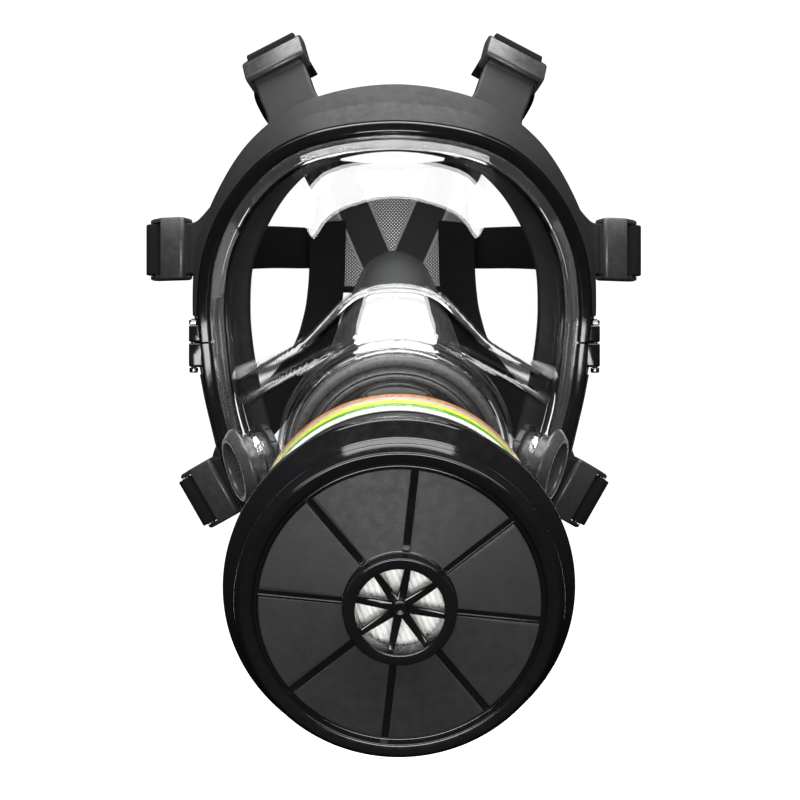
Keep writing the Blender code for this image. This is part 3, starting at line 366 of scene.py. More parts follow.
def plain_looks():
    for row in MOULDED:
        moulded(*row)
    moulded("flap", "valve_silicone", (0.42, 0.43, 0.42), 0.40, 0.8, 0.03, 0.06, 0.5,
            subsurface_weight=0.25, subsurface_scale=0.002)
    steel = Look("plated", "steel", (0.20, 0.20, 0.20), 0.28, 1.0)
    steel.rough(steel.noise(1.0, 4.0, (1, 1, 12)), 0.18, 0.4)
    steel.bump(steel.noise(0.6, 3.0), 0.3, 0.02)
    gauze = Look("gauze", "steel", (0.5, 0.5, 0.5), 0.35, 1.0)
    wires = gauze.math("MULTIPLY", *(gauze.wave(along, 1.6 * MM) for along in gauze.split(gauze.place)[:2]))
    gauze.tint(gauze.span(wires, 0, 1, -0.2, 0.4), (0.5, 0.5, 0.5), (0.02, 0.02, 0.02))
    gauze.bump(gauze.span(wires, 1, 0, -1, 1), 0.8, 0.4)
    paper = Look("paper", "filter_paper", (0.80, 0.78, 0.73), 0.9)
    paper.tint(paper.noise(1.5, 5.0), (0.80, 0.79, 0.76), (0.92, 0.91, 0.89))
    paper.bump(paper.noise(0.25, 4.0, (1, 3, 1)), 0.6, 0.08)
    thread = Look("thread", "webbing_black", (0.05, 0.05, 0.05), 0.6)
    thread.bump(thread.noise(0.3, 2.0, (1, 1, 3)), 0.5, 0.05)


plain_looks()
clear_look()
woven_look()
mesh_look()
label_look()


# ---- mesh helpers

def frame_of(origin, x_axis, y_axis):
    x = Vector(x_axis).normalized()
    z = x.cross(Vector(y_axis)).normalized()
    rot = Matrix((x, z.cross(x), z)).transposed().to_4x4()
    return Matrix.Translation(Vector(origin) * MM) @ rot


def mirrored(vector):
    return Vector((-vector[0], vector[1], vector[2]))


def smooth_path(points, closed, per_span=16):
    """Catmull-Rom curve through rows of values."""
    pts = np.array(points, dtype=float)
    last = len(pts) - 1
    out = []
    for i in range(last + 1 if closed else last):
        around = range(i - 1, i + 3)
        p0, p1, p2, p3 = pts[[j % (last + 1) if closed else min(max(j, 0), last) for j in around]]
        square, cube = 2 * p0 - 5 * p1 + 4 * p2 - p3, 3 * p1 - p0 - 3 * p2 + p3
        for t in np.arange(per_span) / per_span:
            out.append(0.5 * (2 * p1 + (p2 - p0) * t + square * t**2 + cube * t**3))
    return np.array(out if closed else out + [pts[-1]])


def resample(path, count, closed, columns):
    """Evenly spaced rows along a dense path, measured in the given columns."""
    if closed:
        path = np.vstack([path, path[:1]])
    steps = np.linalg.norm(np.diff(path[:, columns], axis=0), axis=1)
    along = np.concatenate([[0], np.cumsum(steps)])
    wanted = np.linspace(0, along[-1], count + 1 if closed else count)
    if closed:
        wanted = wanted[:-1]
    return np.stack([np.interp(wanted, along, path[:, c]) for c in range(path.shape[1])], axis=1)


def ease(t):
    t = np.clip(t, 0, 1)
    return t * t * (3 - 2 * t)


def ramp(t, soft=0.2):
    """0 to 1 in a straight run with rounded ends."""
    t = float(np.clip(t, 0, 1))
    if t < soft:
        return t * t / (2 * soft) / (1 - soft)
    if t > 1 - soft:
        return 1 - (1 - t) ** 2 / (2 * soft) / (1 - soft)
    return (t - soft / 2) / (1 - soft)


def lookup(table, value):
    """Smooth curve through a short table of (input, output)."""
    xs, ys = np.array(table, dtype=float).T
    slope = np.gradient(ys, xs)
    value = float(np.clip(value, xs[0], xs[-1]))
    i = int(np.clip(np.searchsorted(xs, value) - 1, 0, len(xs) - 2))
    width = xs[i + 1] - xs[i]
    t = (value - xs[i]) / width
    bend = width * t * (1 - t) * ((1 - t) * slope[i] - t * slope[i + 1])
    return ys[i] + (ys[i + 1] - ys[i]) * ease(t) + bend


def closed_half(rows):
    return list(rows) + [(-row[0], *row[1:]) for row in rows[-2:0:-1]]


def loft(rings, close_around=True, close_along=False, caps=False):
    """Faces between rings of equal length; returns points and faces."""
    size = len(rings[0])
    count = len(rings)
    verts = [tuple(p) for ring in rings for p in ring]
    faces = []
    for i in range(count if close_along else count - 1):
        a, b = i * size, ((i + 1) % count) * size
        for k in range(size if close_around else size - 1):
            n = (k + 1) % size
            faces.append((a + k, a + n, b + n, b + k))
    if caps:
        faces.append(tuple(range(size)))
        faces.append(tuple(range((count - 1) * size, count * size)))
    return verts, faces


def mesh_of(bm):
    mesh = bpy.data.meshes.new("shape")
    bm.to_mesh(mesh)
    bm.free()
    return mesh


def mesh_from(verts, faces, towards=None):
    """A mesh from millimetre points; an open surface is turned so that its furthest face looks towards."""
    bare = bpy.data.meshes.new("bare")
    bare.from_pydata([Vector(v) * MM for v in verts], [], faces)
    bm = bmesh.new()
    bm.from_mesh(bare)
    bpy.data.meshes.remove(bare)
    bmesh.ops.remove_doubles(bm, verts=bm.verts, dist=0.001 * MM)
    bmesh.ops.recalc_face_normals(bm, faces=bm.faces)
    if towards:
        way = Vector(towards)
        bm.normal_update()
        furthest = max(bm.faces, key=lambda face: face.calc_center_median().dot(way))
        if furthest.normal.dot(way) < 0:
            bmesh.ops.reverse_faces(bm, faces=bm.faces)
    return mesh_of(bm)


def rounded(points, radius, steps=3):
    """A closed outline with its corners rounded, but for those on the axis."""
    pts = [Vector(p[:2]) for p in points]
    out = []
    for i, corner in enumerate(pts):
        a = pts[i - 1] - corner
        b = pts[(i + 1) % len(pts)] - corner
        reach = min(radius, 0.42 * a.length, 0.42 * b.length)
        if abs(corner.x) < 1e-6 or reach < 1e-4:
            out.append(corner)
            continue
        a, b = corner + a.normalized() * reach, corner + b.normalized() * reach
        for k in range(steps + 1):
            t = k / steps
            out.append(a * (1 - t) ** 2 + corner * 2 * t * (1 - t) + b * t * t)
    return out


def turned_mesh(profile, radius=0.4, steps=TURNS):
    """The profile, as (radius, height) points, turned about Z."""
    outline = rounded(profile, radius)
    rings = []
    for k in range(steps):
        ca, sa = math.cos(math.tau * k / steps), math.sin(math.tau * k / steps)
        rings.append([(p.x * ca, p.x * sa, p.y) for p in outline])
    return mesh_from(*loft(rings, close_along=True))


def ring_mesh(inner, outer, low, high, edge=0.4, steps=TURNS):
    return turned_mesh([(inner, high), (outer, high), (outer, low), (inner, low)], edge, steps)


def rod_mesh(radius, low, high, squash=1.0, sides=SMALL_TURNS, edge=0.0):
    """A cylinder along Z with rounded rims."""
    return moved(ring_mesh(0, radius, low, high, edge, sides), Matrix.Diagonal((1, squash, 1, 1)))


def moved(mesh, place):
    mesh.transform(place)
    return mesh


def block_mesh(low, high, turn=0.0, edge=0.0, segments=3):
    """A box between two corners with rounded edges, turned about Z."""
    low, high = Vector(low) * MM, Vector(high) * MM
    bm = bmesh.new()
    bmesh.ops.create_cube(bm, size=1)
    size = [abs(extent) for extent in high - low]
    bm.transform(Matrix.Translation((low + high) / 2) @ Matrix.Diagonal((*size, 1)))
    if edge:
        bmesh.ops.bevel(bm, geom=bm.edges[:], offset=edge * MM, segments=segments, profile=0.5,
                        affect="EDGES")
    bm.transform(Matrix.Rotation(turn, 4, "Z"))
    return mesh_of(bm)


def joined(meshes):
    bm = bmesh.new()
    for mesh in meshes:
        bm.from_mesh(mesh)
        bpy.data.meshes.remove(mesh)
    return mesh_of(bm)


def worked(mesh, steps=(), solid=None, offset=-1, bevel=None):
    """The mesh after a Solidify, Booleans given as (operation, mesh), and a bevel."""
    objects = []
    for shape in (mesh, *(tool for _, tool in steps)):
        objects.append(bpy.data.objects.new("work", shape))
        bpy.context.scene.collection.objects.link(objects[-1])
    modifiers = objects[0].modifiers
    if solid:
        mod = modifiers.new("solid", "SOLIDIFY")
        mod.thickness = solid * MM
        mod.offset = offset
    for (operation, _), tool in zip(steps, objects[1:]):
        mod = modifiers.new("step", "BOOLEAN")
        mod.operation = operation
        mod.solver = "EXACT"
        mod.object = tool
    if bevel:
        mod = modifiers.new("bevel", "BEVEL")
        mod.width = bevel * MM
        mod.segments = 2
        mod.limit_method = "ANGLE"
        mod.angle_limit = BEVEL_ANGLE
    graph = bpy.context.evaluated_depsgraph_get()
    out = bpy.data.meshes.new_from_object(objects[0].evaluated_get(graph))
    for used in objects:
        bpy.data.objects.remove(used, do_unlink=True)
    return out


def cut(mesh, *tools, **finish):
    return worked(mesh, [("DIFFERENCE", tool) for tool in tools], **finish)


def notches(inner, outer, half_width, low, high, count):
    """Bars round the axis, to cut a ring of notches with."""
    return joined([block_mesh((inner, -half_width, low), (outer, half_width, high), math.tau * k / count)
                   for k in range(count)])


def crossed(seat, reach, low, high, half_width=0.9):
    """A valve seat with its two crossed bars."""
    ends = (-reach, -half_width, low), (reach, half_width, high)
    return worked(seat, [("UNION", block_mesh(*ends, turn, 0.3)) for turn in (0, math.pi / 2)])


IDENTITY = Matrix.Identity(4)
# These looks read their piece's own axes.
LOCAL_LOOKS = ("label_bands", "gauze")


def piece(name, mesh, look, body, *nodes, place=IDENTITY, more=()):
    """A shown object on a body, standing for the CAD nodes named."""
    if look not in LOCAL_LOOKS:
        mesh.transform(place)
        place = IDENTITY
    obj = bpy.data.objects.new(name, mesh)
    bpy.context.scene.collection.objects.link(obj)
    obj.matrix_world = place
    mesh.materials.clear()
    for used in (look, *more):
        mesh.materials.append(LOOKS[used])
    mesh.shade_smooth()
    mesh.set_sharp_from_angle(angle=SHARP_ANGLE)
    if body:
        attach(obj, body)
    if nodes:
        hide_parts(*nodes)
    return obj


HOUSING = frame_of(HOUSING_CENTRE, (1, 0, 0), (0, -math.sin(TILT), math.cos(TILT)))
HOUSING_UP = Vector((0, -math.sin(TILT), math.cos(TILT)))
HOUSING_OUT = Vector((0, -math.cos(TILT), -math.sin(TILT)))
SOCKET = HOUSING @ Matrix.Translation((0, SOCKET_DROP * MM, 0))
CANISTER = SOCKET @ Matrix.Translation((0, 0, FACE_TO_HOUSING * MM)) @ Matrix.Rotation(math.pi, 4, "Y")
TO_SOCKET = Matrix.Translation((0, SOCKET_DROP * MM, 0))


# ---- outline of the visor

OUTLINE_DENSE = smooth_path(closed_half(EDGE), True, 40)
OUTLINE = resample(OUTLINE_DENSE, AROUND, True, [0, 1])


def outward(rows, i, closed=True):
    count = len(rows)
    a = rows[(i - 1) % count] if closed else rows[max(i - 1, 0)]
    b = rows[(i + 1) % count] if closed else rows[min(i + 1, count - 1)]
    normal = np.array([-(b[1] - a[1]), b[0] - a[0]])
    normal /= np.linalg.norm(normal)
    return normal if normal @ (rows[i][:2] - np.array([0, VISOR_CENTRE_Z])) > 0 else -normal


def sweep(rows, section, radius, closed):
    """Carries section(row), as (outward offset, depth) points, round the outline."""
    rings = []
    for i, row in enumerate(rows):
        nx, nz = outward(rows, i, closed)
        outline = rounded(section(row), radius)
        rings.append([(row[0] + nx * p.x, p.y, row[1] + nz * p.x) for p in outline])
    return mesh_from(*loft(rings, close_along=closed, caps=not closed))


def seal_section(row):
    edge, rim, rear, lip = row[2], row[3], row[4], row[5]
    flare = rim - 5.4
    return [
        (-6.0, edge + 2.8), (0.5, edge + 2.8), (0.5, edge + 0.2), (2.2, edge + 0.2), (2.2, edge + 7.3),
        (5.4, edge + 7.3), (5.4, edge - 0.8), (5.4 + 0.5 * flare, edge - 0.6 + 0.42 * flare),
        (rim, edge + 1.2 + 0.62 * flare), (rim, rear - 7), (rim - 3.5, rear), (rim - lip + 1.5, rear - 2.0),
        (rim - lip, rear - 3.6), (rim - lip + 1.5, rear - 4.6), (rim - 3.4, rear - 7),
        (rim - 3.4, edge + max(0.62 * flare + 4.8, 10.5)), (2.4, edge + 10.2), (-6.0, edge + 5.8),
    ]


def frame_section(row):
    edge = row[2]
    return [(-1.0, edge - 0.5), (-1.0, edge - 1.9), (0.4, edge - 3.2), (4.0, edge - 3.2), (4.9, edge - 2.1),
            (4.9, edge + 6.8), (2.9, edge + 6.8), (2.9, edge - 0.5)]


# ---- face seal and its lugs

def lug_frame(kind, side):
    spec = LUGS[kind]
    if side < 0:
        return frame_of(spec["bar"], spec["axis"], spec["reach"])
    return frame_of(mirrored(spec["bar"]), -mirrored(spec["axis"]), mirrored(spec["reach"]))


ROUND_CORNERS = 4
ALONG_BAR = Matrix.Rotation(math.pi / 2, 4, "Y")
TO_ROLLER = Matrix.Translation((0, ROLLER_AT * MM, 0)) @ ALONG_BAR


def heading(points, i):
    """Direction of an open path at its point i."""
    before, after = points[max(i - 1, 0)], points[min(i + 1, len(points) - 1)]
    return (after - before).normalized()


def ribbon(centres, widths, thick, across, edge=0.42):
    """Flat band with rounded edges: points, faces and each point's millimetres (across, along)."""
    rings, weave = [], []
    run = 0.0
    for i, centre in enumerate(centres):
        tangent = heading(centres, i)
        side = across[i]
        side = (side - tangent * side.dot(tangent)).normalized()
        up = tangent.cross(side)
        w, h = widths[i] / 2, thick[i] / 2
        outline = rounded([(-w, -h), (w, -h), (w, h), (-w, h)], edge * 2 * h, ROUND_CORNERS)
        if i:
            run += (centre - centres[i - 1]).length
        rings.append([centre + side * p.x + up * p.y for p in outline])
        weave.append([(p.x, run) for p in outline])
    verts, faces = loft(rings, caps=True)
    return verts, faces, [w for ring in weave for w in ring]


def mirror_mesh(mesh):
    """The same shape on the other side of the mask."""
    other = mesh.copy()
    other.transform(Matrix.Diagonal((-1, 1, 1, 1)))
    other.flip_normals()
    return other


def lug_mesh(kind):
    """Left rubber tongue from the rim to the loop round the buckle's bar."""
    spec = LUGS[kind]
    widths, thick = spec["widths"] + [2 * LUG_LOOP_HALF], spec["thick"] + [LUG_LOOP_THICK]
    rows = [(*p, w, t) for p, w, t in zip(spec["path"] + [spec["bar"]], widths, thick)]
    rows = smooth_path(rows, False, 10)
    points = [Vector(row[:3]) for row in rows]
    verts, faces, _ = ribbon(points, rows[:, 3], rows[:, 4], [Vector(spec["axis"])] * len(points), 0.3)
    place = lug_frame(kind, -1) @ ALONG_BAR
    loop = moved(rod_mesh(LUG_LOOP_RADIUS, -LUG_LOOP_HALF, LUG_LOOP_HALF, edge=0.8, sides=40), place)
    bore = moved(rod_mesh(LUG_BAR_RADIUS + GAP, -20, 20, sides=32), place)
    return worked(mesh_from(verts, faces), [("UNION", loop), ("DIFFERENCE", bore)])


def face_seal():
    slots = []
    for side in SIDES.values():
        near, far = side * (EAR[0] + 2.42), side * (EAR[0] + 12)
        slots.append(block_mesh((near, EAR[1] - 12, 11.6), (far, EAR[1] + 7.0, 38.4)))
    seal = cut(sweep(OUTLINE, seal_section, 0.7, True), *slots)
    piece("seal_body", seal, "rubber", "facepiece", "face_seal")
    for kind in LUGS:
        left = lug_mesh(kind)
        right = mirror_mesh(left)
        piece(f"seal_lug_{kind}_left", left, "rubber", "facepiece")
        piece(f"seal_lug_{kind}_right", right, "rubber", "facepiece")


# ---- clamp frame

EAR_ROW = min(OUTLINE_DENSE[: len(OUTLINE_DENSE) // 2], key=lambda row: abs(row[1] - JOINT_Z))
EAR = (float(EAR_ROW[0]), float(EAR_ROW[2]))


def outline_between(low, high, upper):
    start = len(OUTLINE_DENSE) // 2 if upper else 0
    rows = np.roll(OUTLINE_DENSE, -start, axis=0)
    return rows[rows[:, 1] >= high] if upper else rows[rows[:, 1] <= low]


def clamp_frame():
    low_end, high_end = JOINT_Z - JOINT_GAP / 2, JOINT_Z + JOINT_GAP / 2
    screws = {which: Matrix.Translation(Vector((side * (EAR[0] + 7.9), EAR[1] + 1.8, 0)) * MM)
              for which, side in SIDES.items()}
    for name, upper in (("frame_upper", True), ("frame_lower", False)):
        rows = outline_between(low_end, high_end, upper)
        body = sweep(resample(rows, 170, False, [0, 1]), frame_section, 0.5, False)
        low, high = (high_end, EAR_Z[1]) if upper else (EAR_Z[0], low_end)
        steps = []
        for which, side in SIDES.items():
            near, far = side * (EAR[0] + 3.4), side * (EAR[0] + 9.7)
            ear = block_mesh((near, EAR[1] - 2.4, low), (far, EAR[1] + 6.6, high), edge=0.9)
            hole = moved(rod_mesh(1.5, low - 5, high + 5, sides=32), screws[which])
            steps += [("UNION", ear), ("DIFFERENCE", hole)]
        piece(f"{name}_rail", worked(body, steps), "gloss", "facepiece", name)
    screw = cut(turned_mesh(SCREW_PROFILE, 0.25, 40), block_mesh((-1.3, -0.25, 12.0), (1.3, 0.25, 13.0)))
    nut = ring_mesh(1.25, 2.2, 34.3, 36.4, 0.2, 6)
    for which, place in screws.items():
        for part, mesh in (("screw", screw), ("nut", nut)):
            name = f"{part}_{which}"
            piece(f"clamp_{name}", mesh.copy(), "plated", "facepiece", f"frame_{name}", place=place)


# ---- visor

def visor_depth(x, z):
    """Depth of the visor's outer surface at half width x and height z."""
    bulge = 1 - math.sqrt(max(1 - (x / SECTION_HALF_WIDTH) ** 2, 0.02))
    brow = lookup(BROW_LINE, z) + BROW_DROP * bulge
    lower = lookup(LOWER_LINE, z) + LOWER_DROP * bulge
    top, bottom = lookup(UPPER_RIDGE, abs(x)), lookup(LOWER_RIDGE, abs(x))
    depth = brow + (lower - brow) * ramp((top - z) / (top - bottom))
    radius = math.hypot(x, (z - HOUSING_CENTRE.z) / math.cos(TILT))
    boss = ease((BOSS_EDGE - radius) / (BOSS_EDGE - BOSS_RADIUS))
    level = HOUSING_CENTRE.y - math.tan(TILT) * (z - HOUSING_CENTRE.z)
    return float(depth + (level - depth) * boss)


def visor_surface():
    """Rings from the housing hole, over its boss, out to the outline and its brim."""
    inner = []
    for i, row in enumerate(OUTLINE):
        nx, nz = outward(OUTLINE, i)
        inner.append((row[0] - nx * VISOR_BRIM, row[1] - nz * VISOR_BRIM))
    circle = [(math.sin(math.tau * i / AROUND), math.cos(math.tau * i / AROUND) * math.cos(TILT))
              for i in range(AROUND)]
    rings = []
    for radius in np.linspace(SPIGOT_RADIUS + 2 * GAP, BOSS_EDGE, 10)[:-1]:
        flat = [(cx * radius, HOUSING_CENTRE.z + cz * radius) for cx, cz in circle]
        rings.append([(x, visor_depth(x, z), z) for x, z in flat])
    settle = [OUTLINE[i][2] - 0.6 - visor_depth(*inner[i]) for i in range(AROUND)]
    for k in range(VISOR_RINGS + 1):
        f = k / VISOR_RINGS
        ring = []
        for i, (x, z) in enumerate(inner):
            px = x * f + circle[i][0] * BOSS_EDGE * (1 - f)
            pz = z * f + (HOUSING_CENTRE.z + circle[i][1] * BOSS_EDGE) * (1 - f)
            ring.append((px, visor_depth(px, pz) + settle[i] * f**4, pz))
        rings.append(ring)
    rings.append([(row[0], row[2], row[1]) for row in OUTLINE])
    return mesh_from(*loft(rings), towards=(0, -1, 0))


def port_frame(side):
    out = Vector((side * math.sin(PORT_TURN) * math.cos(PORT_DIP), -math.cos(PORT_TURN) * math.cos(PORT_DIP),
                  -math.sin(PORT_DIP)))
    centre = Vector((-side * PORT_CENTRE.x, PORT_CENTRE.y, PORT_CENTRE.z))
    up = Vector((0, 0, 1))
    up = (up - out * up.dot(out)).normalized()
    return frame_of(centre, up.cross(out), up)


def visor():
    holes = [moved(rod_mesh(PORT_RADIUS + 2 * GAP, -22, 24), port_frame(side)) for side in SIDES.values()]
    shell = cut(visor_surface(), *holes, solid=VISOR_THICKNESS, bevel=0.35)
    piece("visor_shell", shell, "clear", "facepiece", "visor")


# ---- front housing

def arc_slot(inner, outer, half_angle, low=2, high=9, steps=18):
    """A slot bent round the axis, centred straight above it."""
    outline = [(inner, low), (outer, low), (outer, high), (inner, high)]
    rings = []
    for k in range(steps + 1):
        angle = math.pi / 2 + half_angle * (2 * k / steps - 1)
        rings.append([(r * math.cos(angle), r * math.sin(angle), z) for r, z in outline])
    return mesh_from(*loft(rings, caps=True))


def housing_body(oval):
    plate = turned_mesh([
        (0, 4.0), (41.0, 4.0), (41.3, 3.7), (41.3, 1.5), (SPIGOT_RADIUS, 1.5), (SPIGOT_RADIUS, -12.0),
        (33.4, -12.0), (33.4, 1.5), (0, 1.5)], 0.3)
    bore, root = THREAD_RADIUS + GAP, THREAD_RADIUS + 1.3
    thread = [(0, SOCKET_FRONT + 5), (bore, SOCKET_FRONT + 5)]
    for k in range(int((SOCKET_FRONT - SOCKET_SHOULDER) / THREAD_PITCH)):
        top = SOCKET_FRONT - 1.0 - k * THREAD_PITCH
        thread += [(bore, top), (root, top - 0.9), (root, top - 1.9), (bore, top - 2.8)]
    thread += [(bore, SOCKET_SHOULDER), (0, SOCKET_SHOULDER)]
    return worked(plate, [
        ("UNION", moved(ring_mesh(0, SOCKET_RADIUS, 1.6, SOCKET_FRONT, 0.8), TO_SOCKET)),
        ("DIFFERENCE", moved(turned_mesh(thread, 0.2), TO_SOCKET)),
        ("DIFFERENCE", moved(rod_mesh(PASSAGE_RADIUS, -6, SOCKET_SHOULDER + 3), TO_SOCKET)),
        ("DIFFERENCE", oval(SPEECH_HALF_WIDTH + GAP, 2.7, 8)),
        ("DIFFERENCE", oval(SPEECH_HALF_WIDTH - 2.2, -3, 8))])


def front_housing():
    def oval(radius, low, high, edge=0.0):
        flat = rod_mesh(radius, low, high, SPEECH_HALF_HEIGHT / SPEECH_HALF_WIDTH, edge=edge)
        return moved(flat, Matrix.Translation((0, SPEECH_RISE * MM, 0)))

    slots = [arc_slot(inner, outer, math.radians(half)) for inner, outer, half in SPEECH_SLOTS]
    bezel = turned_mesh([
        (31.6, 4.3), (31.6, 6.2), (32.2, 6.6), (34.4, 6.6), (34.4, 5.2), (37.6, 5.2), (37.6, 7.6),
        (41.2, 7.6), (41.8, 7.0), (41.8, 4.3)], 0.5)
    bezel = cut(bezel, moved(rod_mesh(SOCKET_RADIUS + GAP, -2, 30), TO_SOCKET))
    nut = cut(ring_mesh(36.0, 40.4, -6.4, -2.9, 0.5), notches(39.6, 42, 1.2, -8, 0, 24))
    grille = cut(oval(SPEECH_HALF_WIDTH, 4.4, 6.4, 0.5), *slots, bevel=0.2)
    for name, mesh, look, node in (
        ("housing_body", housing_body(oval), "inner", "front_housing"),
        ("speech_film", oval(SPEECH_HALF_WIDTH - 0.2, 3.0, 3.5), "flap", "speech_diaphragm"),
        ("speech_cover", grille, "satin", "speech_grille"),
        ("housing_ring", bezel, "inner", "housing_bezel"),
        ("housing_seal", ring_mesh(36.0, 40.6, 0.3, 1.2, 0.3), "gasket", "housing_gasket"),
        ("housing_ring_nut", nut, "satin", "housing_nut"),
    ):
        piece(name, mesh, look, "facepiece", node, place=HOUSING)


def inhalation():
    seat = turned_mesh([(12.1, 1.2), (12.1, -0.4), (13.0, -1.0), (13.0, -2.2), (10.6, -2.2), (10.6, 1.2)],
                       0.25, SMALL_TURNS)
    flap = rod_mesh(12.2, -3.2, -2.5, edge=0.25)
    piece("inlet_seat", crossed(seat, 11.4, -1.9, 0.8), "satin", "facepiece", "inhalation_seat", place=SOCKET)
    piece("inlet_flap", flap, "flap", "inhalation_valve", "inhalation_valve", place=SOCKET)


# ---- exhalation ports

def ports():
    body = turned_mesh([
        (PORT_RADIUS, -12.4), (PORT_RADIUS, 1.4), (17.0, 1.4), (17.0, 2.6), (16.2, 3.6), (13.8, 6.0),
        (12.0, 6.0), (11.2, 5.0), (11.2, -12.4)], 0.4, PORT_SIDES)
    nut = cut(ring_mesh(13.0, 15.4, -12.0, -9.2, 0.4, PORT_SIDES), notches(14.8, 17, 0.9, -13, -8, 12))
    seat = turned_mesh([(10.9, -3.6), (10.9, -7.4), (8.6, -7.4), (8.6, -4.6), (9.8, -3.6)], 0.25, SMALL_TURNS)
    cover = turned_mesh([(0, 2.4), (3.4, 2.4), (9.0, 3.4), (10.9, 4.6), (10.9, 2.2), (9.0, 1.4), (3.4, 0.4),
                         (0, 0.4)], 0.5, PORT_SIDES)
    holes = []
    for radius, count, size in COVER_HOLES:
        for k in range(count):
            angle = math.tau * (k + 0.5) / count
            spot = (radius * math.cos(angle) * MM, radius * math.sin(angle) * MM, 0)
            holes.append(moved(rod_mesh(size, -3, 9, sides=12), Matrix.Translation(spot)))
    shapes = [
        ("port_ring", body, "inner", "side_port_body", False),
        ("port_nut", nut, "satin", "side_port_nut", False),
        ("outlet_seat", crossed(seat, 9.4, -7.2, -4.8), "satin", "exhalation_seat", False),
        ("outlet_flap", rod_mesh(10.0, -3.3, -2.6, edge=0.25), "flap", "exhalation_valve", True),
        ("outlet_cover", cut(cover, joined(holes)), "inner", "exhalation_cover", True),
    ]
    for which, side in SIDES.items():
        for name, mesh, look, node, moves in shapes:
            node = f"{node}_{which}"
            piece(f"{name}_{which}", mesh.copy(), look, node if moves else "facepiece", node,
                  place=port_frame(side))


# ---- nose cup

def nose_cup():
    rings = [smooth_path(closed_half(ring), True, 24) for ring in CUP_RINGS]
    rings = [resample(ring, CUP_COUNT, True, [0, 1, 2]) for ring in rings]
    for level in CUP_COLLAR_LEVELS:
        centre = HOUSING_CENTRE + HOUSING_OUT * level
        ring = []
        for x, z, _ in rings[3]:
            rise = HOUSING_UP * Vector((x, 0, z - centre.z)).dot(HOUSING_UP)
            point = centre + (Vector((x, 0, 0)) + rise).normalized() * CUP_COLLAR_RADIUS
            ring.append((point.x, point.z, point.y))
        rings.append(np.array(ring))
    stations = smooth_path(np.stack(rings).reshape(len(rings), -1), False, 9).reshape(-1, CUP_COUNT, 3)
    surface = mesh_from(*loft([[(x, y, z) for x, z, y in ring] for ring in stations]), towards=(0, 0, 1))
    seat = turned_mesh([(11.0, 3.4), (11.0, 4.6), (6.4, 4.6), (6.4, -4.2), (8.7, -4.2), (8.7, 3.4)], 0.4,
                       SMALL_TURNS)
    seat = crossed(seat, 7.4, -4.0, -2.2, 0.8)
    flap = rod_mesh(7.9, -5.2, -4.5, edge=0.25)
    holes = []
    for which, side in SIDES.items():
        place = frame_of((-side * NOSE_VALVE_AT.x, *NOSE_VALVE_AT[1:]), (0, side, 0), (0, 0, 1))
        holes.append(moved(rod_mesh(9.1, -12, 12), place))
        held, valve = f"nose_valve_seat_{which}", f"nose_valve_{which}"
        piece(f"cheek_seat_{which}", seat.copy(), "satin", "facepiece", held, place=place)
        piece(f"cheek_flap_{which}", flap.copy(), "flap", valve, valve, place=place)
    piece("inner_mask", cut(surface, *holes, solid=CUP_WALL), "silicone", "facepiece", "nose_cup")


# ---- buckles and rollers

def buckle_mesh():
    outline = rounded(BUCKLE_PROFILE, 0.8)
    half, window = BUCKLE_HALF_WIDTH, BUCKLE_WINDOW
    ends = [(half, 0.86), (half - 0.35, 0.95), (half - 0.9, 1.0)]
    middle = Vector((7.0, 1.4))
    rings = []
    for x, shrink in [(-x, shrink) for x, shrink in ends] + ends[::-1]:
        rings.append([(x, *(middle + (p - middle) * shrink)) for p in outline])
    bar = moved(rod_mesh(LUG_BAR_RADIUS, -window - 1.2, window + 1.2, sides=32), ALONG_BAR)
    reach = window + PIN_DEPTH + GAP
    pin = moved(rod_mesh(PIN_RADIUS + GAP, -reach, reach, sides=24), TO_ROLLER)
    return worked(mesh_from(*loft(rings, caps=True)), [
        ("DIFFERENCE", block_mesh((-window, -6, -6), (window, 4.6, 4.4), edge=0.5)),
        ("DIFFERENCE", block_mesh((-window, 9.3, -6), (window, 25, 12), edge=0.5)),
        ("UNION", bar), ("DIFFERENCE", pin)])


def buckles():
    shape = buckle_mesh()
    end = BUCKLE_WINDOW + PIN_DEPTH
    half = BUCKLE_WINDOW - GAP
    profile = [(0, end), (PIN_RADIUS, end), (PIN_RADIUS, half), (ROLLER_RADIUS, half)]
    roller = turned_mesh(profile + [(radius, -level) for radius, level in profile[::-1]], 0.35, 48)
    roller = cut(roller, notches(2.62, 4, 0.16, -half - 1, half + 1, 16))
    parts = [("buckle_body", shape, "satin", "buckle", IDENTITY),
             ("strap_roller", roller, "gloss", "roller", TO_ROLLER)]
    for kind in LUGS:
        for which, side in SIDES.items():
            for part, mesh, look, node, place in parts:
                node = f"{node}_{kind}_{which}"
                piece(f"{part}_{kind}_{which}", mesh.copy(), look, node, node,
                      place=lug_frame(kind, side) @ place)


# ---- head harness

def head_point(x, z, lift):
    u = x / HEAD_RADII[0]
    w = (z - HEAD_CENTRE.z) / HEAD_RADII[2]
    y = HEAD_RADII[1] * math.sqrt(1 - u * u - w * w)
    normal = Vector((u / HEAD_RADII[0], y / HEAD_RADII[1] ** 2, w / HEAD_RADII[2])).normalized()
    return Vector((x, HEAD_CENTRE.y + y, z)) + normal * lift


def head_normal(point):
    away = Vector(point) - HEAD_CENTRE
    return Vector([away[k] / HEAD_RADII[k] ** 2 for k in range(3)]).normalized()


def set_weave(mesh, weave):
    """Stores (across, along) millimetres of each point as the band's UV map."""
    layer = mesh.uv_layers.new(name="weave")
    index = np.empty(len(mesh.loops), dtype=np.int32)
    mesh.loops.foreach_get("vertex_index", index)
    layer.data.foreach_set("uv", np.array(weave, dtype=np.float32)[index].ravel())


